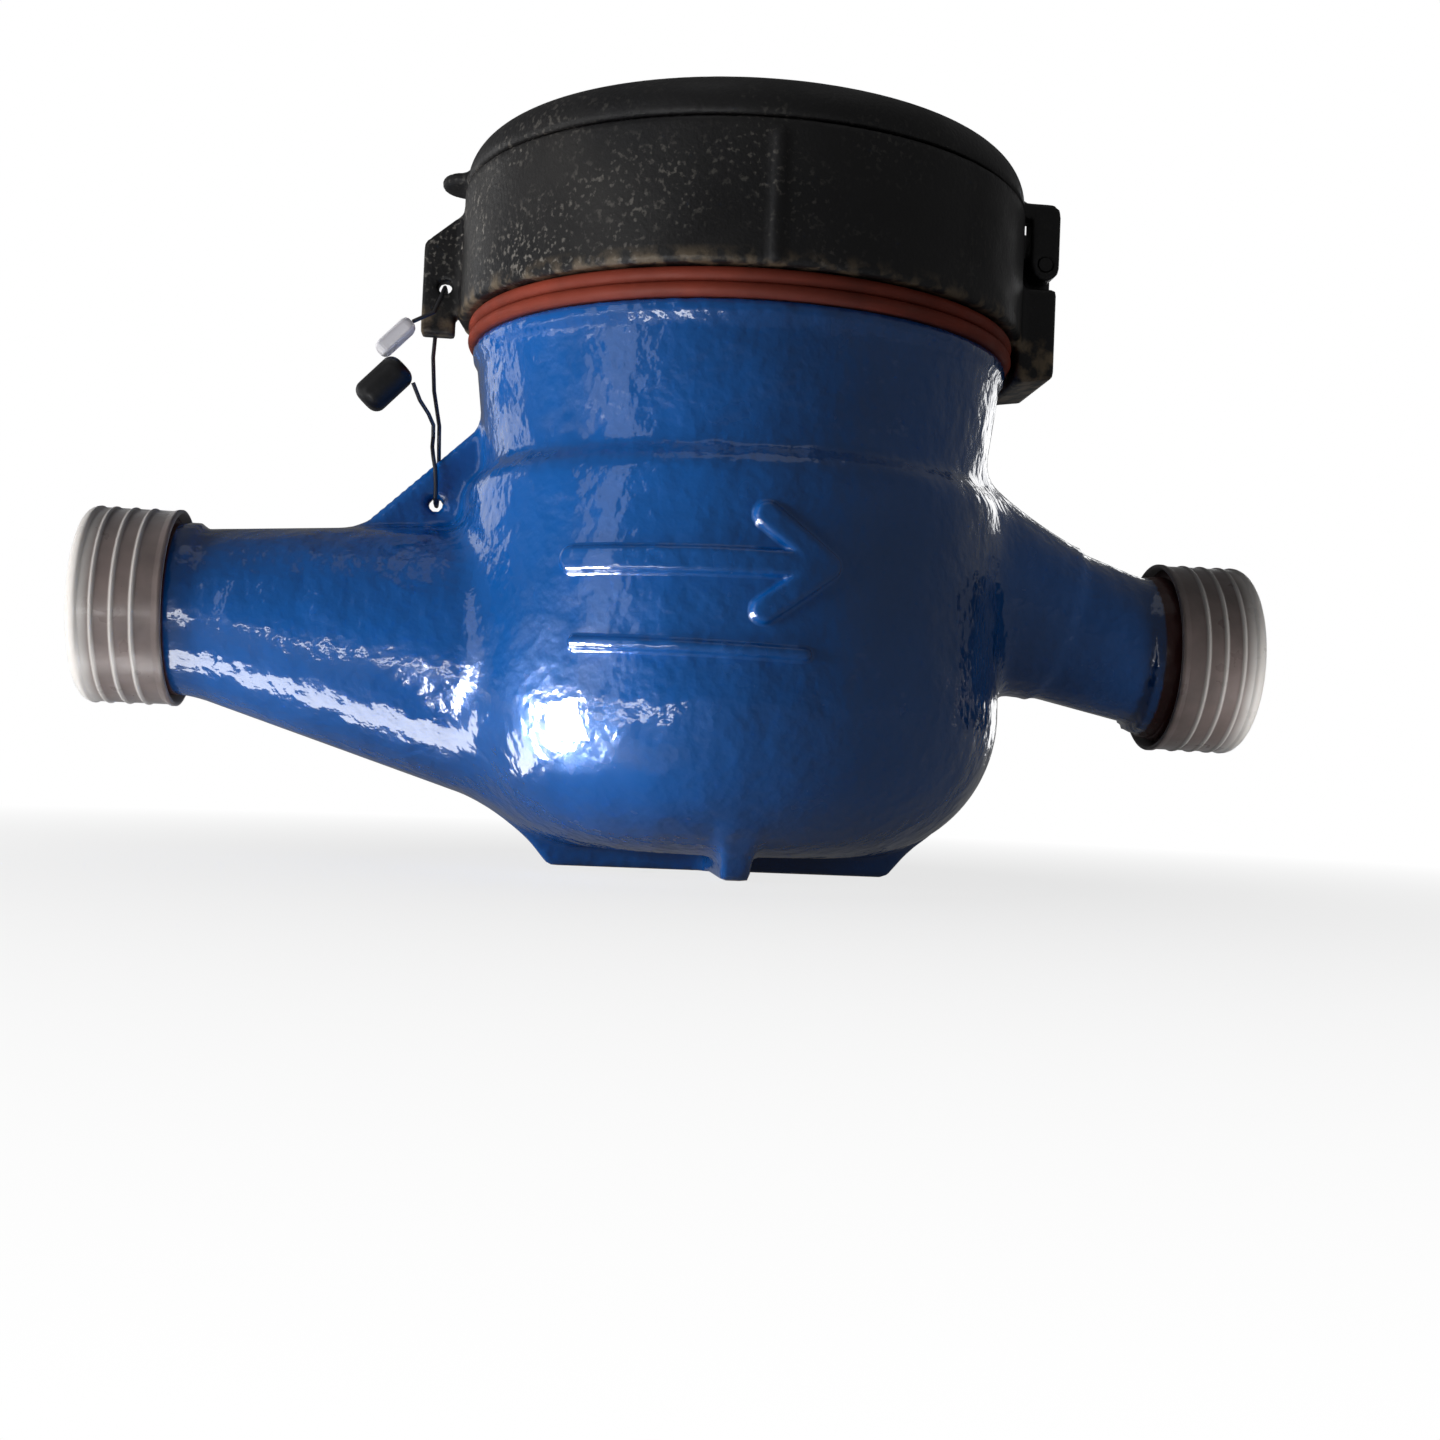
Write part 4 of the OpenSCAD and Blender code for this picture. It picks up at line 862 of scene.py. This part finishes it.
class METER_OT_seal(bpy.types.Operator):
    """Rounds the barrel and the clear shell of the wire seal and darkens its wire"""
    bl_idname = "meter.seal"
    bl_label = "Seal"

    def execute(self, context):
        self.barrel(NODES["seal_rotor"])
        self.round_edges(NODES["seal_shell"])
        wire = NODES["seal_wire"].data
        wire.materials.clear()
        wire.materials.append(plain_finish("seal_wire", (0.13, 0.13, 0.14), 0.42, 2200, 0.3, metallic=1.0))
        return {"FINISHED"}

    def barrel(self, rotor):
        """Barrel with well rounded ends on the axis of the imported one, which is its longest way."""
        rounding, step = 0.6, 0.3
        packed = np.array([rotor.matrix_world @ v.co for v in rotor.data.vertices]) / MM
        low, high = packed.min(0), packed.max(0)
        middle = (low + high) / 2
        axis = np.linalg.eigh(np.cov((packed - middle).T))[1][:, 2]

        def about_axis(p):
            along = (p - middle) @ axis
            return along, np.sqrt(np.maximum(((p - middle) ** 2).sum(1) - along ** 2, 0))

        along, radial = about_axis(packed)
        reach, radius = np.abs(along).max(), radial.max()

        def field(p):
            along, radial = about_axis(p)
            return turned_disc(radial, along, radius, -reach, reach, rounding * radius)

        points, faces = surface_net(field, low - 1, high + 1, step)
        new_piece("seal_barrel", points, faces, finish_of("seal_black"), ROOT, ["seal_rotor"])

    def round_edges(self, shell):
        """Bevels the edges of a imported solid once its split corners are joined."""
        joined = shell.modifiers.new("joined", "WELD")
        joined.merge_threshold = 0.001 * MM
        rounded = shell.modifiers.new("rounded", "BEVEL")
        rounded.width = 0.9 * MM
        rounded.segments = 5
        rounded.angle_limit = math.radians(40)


class METER_OT_caps(bpy.types.Operator):
    """Builds the two thread caps with their thin ridges and rolled rims"""
    bl_idname = "meter.caps"
    bl_label = "Caps"

    def execute(self, context):
        s = in_mm(context.scene.meter_cap)
        reach, height = (INLET_CAP_HIGH - INLET_CAP_LOW)[[0, 2]]
        profile = self.profile(s, reach, height / 2)
        ends = (("inlet_cap", INLET_CAP_LOW[0], 1), ("outlet_cap", OUTLET_CAP_HIGH[0], -1))
        for name, start, way in ends:
            points, faces = lathe(profile, (start, 0, PIPE_Z), way)
            new_piece(name + "_moulding", points, faces, finish_of("cap_milky"), name, [name])
        return {"FINISHED"}

    def profile(self, s, reach, outer):
        """Section of a cap as along and radius, from the middle of its dish round to its inside."""
        axis = 0.001
        inner = outer - s.wall
        profile = [(s.dish, axis), (s.dish, outer - 4.2), (0, outer - 3.4)]
        for turn in np.linspace(0, math.pi / 2, 7):
            profile.append((s.edge - s.edge * math.cos(turn), outer - s.edge + s.edge * math.sin(turn)))
        rings = [s.first_ring + s.ring_pitch * k for k in range(s.rings)]
        for along in np.linspace(s.edge + 0.2, reach - 1.2, 90):
            off = min(abs(along - ring) for ring in rings)
            rise = 0.5 + 0.5 * math.cos(math.pi * min(1, 2 * off / s.ring_width))
            profile.append((along, outer - s.ring_height * (1 - rise)))
        profile += [(reach - 0.6, outer), (reach - 0.1, outer), (reach, outer - 0.2), (reach, inner + 0.05)]
        return profile + [(s.end + 0.5, inner), (s.end, inner - 0.5), (s.end, axis)]


def text_shape(text, size):
    """Points and faces of flat text about its middle, in millimetres."""
    curve = bpy.data.curves.new("text", "FONT")
    curve.body = text
    curve.size = size
    curve.align_x = "CENTER"
    curve.align_y = "CENTER"
    curve.resolution_u = 4
    holder = bpy.data.objects.new("text", curve)
    bpy.context.scene.collection.objects.link(holder)
    mesh = bpy.data.meshes.new_from_object(holder.evaluated_get(bpy.context.evaluated_depsgraph_get()))
    points = np.array([v.co[:2] for v in mesh.vertices])
    faces = [tuple(p.vertices) for p in mesh.polygons]
    bpy.data.objects.remove(holder)
    bpy.data.curves.remove(curve)
    bpy.data.meshes.remove(mesh)
    return points, faces


class Print:
    """Flat print collected from text, lines and rings into one mesh."""

    def __init__(self):
        self.points = []
        self.faces = []

    def add(self, points, faces):
        start = len(self.points)
        self.points += [tuple(p) for p in points]
        self.faces += [tuple(start + k for k in face) for face in faces]

    def text(self, text, size, at):
        points, faces = text_shape(text, size)
        self.add(points + np.asarray(at), faces)

    def line(self, start, end, width):
        start, end = np.asarray(start, dtype=float), np.asarray(end, dtype=float)
        way = (end - start) / np.linalg.norm(end - start)
        side = np.array([-way[1], way[0]]) * width / 2
        self.add([start - side, end - side, end + side, start + side], [(0, 1, 2, 3)])

    def ring(self, at, inner, outer, count=72):
        turn = np.linspace(0, 2 * np.pi, count, endpoint=False)
        way = np.stack([np.cos(turn), np.sin(turn)], 1)
        faces = [(k, count + k, count + (k + 1) % count, (k + 1) % count) for k in range(count)]
        self.add(np.concatenate([at + inner * way, at + outer * way]), faces)


class METER_OT_register(bpy.types.Operator):
    """Prints the dial round its pointers and the numbers on the drums"""
    bl_idname = "meter.register"
    bl_label = "Register"

    def execute(self, context):
        black = Print()
        black.ring(np.zeros(2), DIAL_HIGH[0] - 1.6, DIAL_HIGH[0] - 1.1, 128)
        black.text("m\u00b3", 3.2, (0, 17.2))
        for node, label in (("pointer_1_litre", "x0.001"), ("pointer_10_litre", "x0.01"),
                            ("pointer_100_litre", "x0.1"), ("pointer_1000_litre", "x1")):
            self.small_dial(black, node, label)
        self.window(black)
        points = [(x, y, DIAL_HIGH[2] + PRINT_LIFT) for x, y in black.points]
        new_piece("dial_print", points, black.faces, finish_of("drum_black"), ROOT)
        for i in range(1, 6):
            self.digits(f"number_drum_{i}", f"drum_digits_{i}")
        return {"FINISHED"}

    def small_dial(self, black, node, label):
        """Ring, ticks, numbers and factor round the axis of a pointer that points up."""
        pointer_length, tick_start, tick_end, number_reach = 5.2, 4.3, 5, 5.75
        low, high = corners(node)
        at = np.array([(low[0] + high[0]) / 2, high[1] - pointer_length])
        black.ring(at, 4.25, 4.4)
        for k in range(10):
            turn = math.radians(90 - 36 * k)
            way = np.array([math.cos(turn), math.sin(turn)])
            black.line(at + tick_start * way, at + tick_end * way, 0.28)
            black.text(str(k), 1.35, at + number_reach * way)
        black.text(label, 1.7, at * 1.58)

    def window(self, black):
        """Frame round the window over the drums."""
        width = 0.3
        left, right = corners("number_drum_5")[0][0], corners("number_drum_1")[1][0]
        low, high = corners("number_drum_1")
        y = (low[1] + high[1]) / 2
        for way in (-1, 1):
            black.line((left - 0.6, y + 2.8 * way), (right + 0.6, y + 2.8 * way), width)
            x = right + 0.5 if way > 0 else left - 0.5
            black.line((x, y - 2.9), (x, y + 2.9), width)

    def digits(self, node, name):
        """Ten numbers round a drum, on its own body."""
        low, high = corners(node)
        middle = (low + high) / 2
        r = (high[1] - low[1]) / 2
        white = Print()
        for k in range(10):
            points, faces = text_shape(str(k), 3.9)
            turn = points[:, 1] / r + math.radians(36 * k)
            lifted = r + PRINT_LIFT
            around = np.stack([middle[0] + points[:, 0], middle[1] + lifted * np.sin(turn),
                               middle[2] + lifted * np.cos(turn)], 1)
            white.add(around, faces)
        new_piece(name, white.points, white.faces, finish_of("dial_white"), node)


def white_share(tree):
    """How white the surroundings are to a ray: fully to the camera and through glass, a little in gloss."""
    path = tree.nodes.new("ShaderNodeLightPath")
    share = path.outputs["Is Camera Ray"]
    for ray, part in (("Is Transmission Ray", 1.0), ("Is Glossy Ray", 0.08)):
        more = tree.nodes.new("ShaderNodeMath")
        more.operation = "MULTIPLY_ADD"
        more.inputs[1].default_value = part
        tree.links.new(path.outputs[ray], more.inputs[0])
        tree.links.new(share, more.inputs[2])
        share = more.outputs["Value"]
    return share


class METER_OT_stage(bpy.types.Operator):
    """Sets up the camera, the floor, the lights and the white surroundings"""
    bl_idname = "meter.stage"
    bl_label = "Stage"

    def execute(self, context):
        scene = context.scene
        s = scene.meter_stage
        scene.view_settings.view_transform = "Standard"
        lens = bpy.data.cameras.new("camera")
        lens.lens = s.lens
        lens.sensor_width = s.sensor
        lens.clip_start = 0.01
        camera = bpy.data.objects.new("camera", lens)
        scene.collection.objects.link(camera)
        yaw, pitch, roll = s.camera_yaw, s.camera_pitch, s.camera_roll
        ahead = Vector((-math.sin(yaw) * math.cos(pitch), math.cos(yaw) * math.cos(pitch), math.sin(pitch)))
        right = Vector((math.cos(yaw), math.sin(yaw), 0))
        up = right.cross(ahead)
        tilted = math.cos(roll) * right + math.sin(roll) * up
        up = math.cos(roll) * up - math.sin(roll) * right
        turn = Matrix((tilted, up, -ahead)).transposed().to_4x4()
        camera.matrix_world = Matrix.Translation(Vector(s.camera_place)) @ turn
        scene.camera = camera
        self.floor(scene, s)
        self.lights(scene)
        self.surroundings(scene, s)
        return {"FINISHED"}

    def floor(self, scene, s):
        mesh = bpy.data.meshes.new("floor")
        mesh.from_pydata([(-4, -4, 0), (4, -4, 0), (4, 4, 0), (-4, 4, 0)], [], [(0, 1, 2, 3)])
        floor = bpy.data.objects.new("floor", mesh)
        scene.collection.objects.link(floor)
        f = Finish("floor", base_color=tuple(s.floor), roughness=0.7, specular_ior_level=0.0)
        reach = f.add("ShaderNodeVectorMath", {0: f.place}, operation="LENGTH").outputs["Value"]
        glow = f.add("ShaderNodeEmission", {"Color": (1, 1, 1), "Strength": 1.0})
        # Less white near the object, so that its shadow shows
        share = f.times(f.spread(reach, 0.05, 0.22, 0.78, 1.0), white_share(f.tree))
        blend = f.add("ShaderNodeMixShader", {0: share})
        f.feed(blend.inputs[1], f.shader.outputs["BSDF"])
        f.feed(blend.inputs[2], glow.outputs["Emission"])
        f.feed(f.tree.nodes["Material Output"].inputs["Surface"], blend.outputs["Shader"])
        mesh.materials.append(f.material)

    def lights(self, scene):
        """Soft lights for the colours, and gloss lights that are seen only as reflections."""
        colour_only = ("window", "table", "under", "right", "outlet")
        narrow = ("outlet", "barrel_gloss")
        for name, place, aim, size, power in (
            ("window", (-0.48, -0.105, 0.05), (-0.02, -0.02, 0.05), (0.34, 0.09), 2.45),
            ("table", (-0.14, -0.06, 0.0006), (-0.14, -0.06, 1), (0.14, 0.12), 0.06),
            ("under", (-0.03, -0.052, 0.0006), (-0.03, -0.052, 1), (0.03, 0.015), 0.008),
            ("top", (0.0, -0.12, 0.6), (0, 0, 0.09), (0.4, 0.3), 0.09),
            ("right", (0.45, -0.30, 0.12), (0.03, 0, 0.05), (0.30, 0.30), 0.19),
            ("outlet", (0.092, -0.028, 0.012), (0.076, -0.008, 0.032), (0.02, 0.02), 0.002),
            ("pane_gloss", (-0.40, -0.28, 0.14), (-0.02, -0.02, 0.05), (0.16, 0.42), 0.15),
            ("inlet_gloss", (-0.069, -0.016, 0.0006), (-0.069, -0.016, 1), (0.052, 0.010), 0.011),
            ("barrel_gloss", (-0.050, -0.038, 0.012), (-0.025, -0.031, 0.022), (0.021, 0.023), 0.03),
            ("table_gloss", (-0.10, -0.12, 0.0006), (-0.10, -0.12, 1), (0.08, 0.06), 0.12),
            ("left_rim_gloss", (-0.46, 0.34, 0.12), (-0.03, 0, 0.05), (0.30, 0.30), 0.24),
            ("right_rim_gloss", (0.34, 0.45, 0.12), (0.03, 0, 0.05), (0.18, 0.30), 0.26),
        ):
            lamp = bpy.data.lights.new(name, "AREA")
            lamp.shape = "RECTANGLE"
            lamp.size, lamp.size_y = size
            lamp.energy = power
            lamp.spread = math.radians(70 if name in narrow else 180)
            light = bpy.data.objects.new(name, lamp)
            scene.collection.objects.link(light)
            light.location = place
            light.rotation_euler = (Vector(aim) - Vector(place)).to_track_quat("-Z", "Y").to_euler()
            light.visible_camera = False
            light.visible_glossy = name not in colour_only
            if name.endswith("gloss"):
                light.visible_diffuse = False
                light.visible_transmission = False
                light.visible_volume_scatter = False

    def surroundings(self, scene, s):
        world = bpy.data.worlds.new("surroundings")
        scene.world = world
        world.use_nodes = True
        nodes, links = world.node_tree.nodes, world.node_tree.links
        room = nodes["Background"]
        room.inputs["Color"].default_value = (1, 1, 1, 1)
        room.inputs["Strength"].default_value = s.room
        white = nodes.new("ShaderNodeBackground")
        white.inputs["Color"].default_value = (1, 1, 1, 1)
        mixed = nodes.new("ShaderNodeMixShader")
        links.new(white_share(world.node_tree), mixed.inputs[0])
        links.new(room.outputs["Background"], mixed.inputs[1])
        links.new(white.outputs["Background"], mixed.inputs[2])
        links.new(mixed.outputs["Shader"], nodes["World Output"].inputs["Surface"])


class METER_PT_panel(bpy.types.Panel):
    """Settings and steps of the water meter"""
    bl_label = "Water meter"
    bl_idname = "METER_PT_panel"
    bl_space_type = "VIEW_3D"
    bl_region_type = "UI"
    bl_category = "Water meter"

    def draw(self, context):
        for step in STEPS:
            self.layout.operator(step.bl_idname)
        for group in GROUPS:
            settings = getattr(context.scene, group)
            for key in settings.__annotations__:
                self.layout.prop(settings, key)


STEPS = (METER_OT_finishes, METER_OT_casting, METER_OT_cover, METER_OT_seal, METER_OT_caps,
         METER_OT_register, METER_OT_stage)
GROUPS = {"meter_casting": CastingSettings, "meter_cover": CoverSettings, "meter_cap": CapSettings,
          "meter_stage": StageSettings}


def register():
    for kind in (*GROUPS.values(), *STEPS, METER_PT_panel):
        bpy.utils.register_class(kind)
    for name, kind in GROUPS.items():
        setattr(bpy.types.Scene, name, bpy.props.PointerProperty(type=kind))


def unregister():
    for name in GROUPS:
        delattr(bpy.types.Scene, name)
    for kind in reversed((*GROUPS.values(), *STEPS, METER_PT_panel)):
        bpy.utils.unregister_class(kind)


def main():
    """Builds every piece in order."""
    register()
    bpy.ops.meter.finishes()
    bpy.ops.meter.casting()
    bpy.ops.meter.cover()
    bpy.ops.meter.seal()
    bpy.ops.meter.caps()
    bpy.ops.meter.register()
    bpy.ops.meter.stage()


if __name__ == "__main__":
    main()
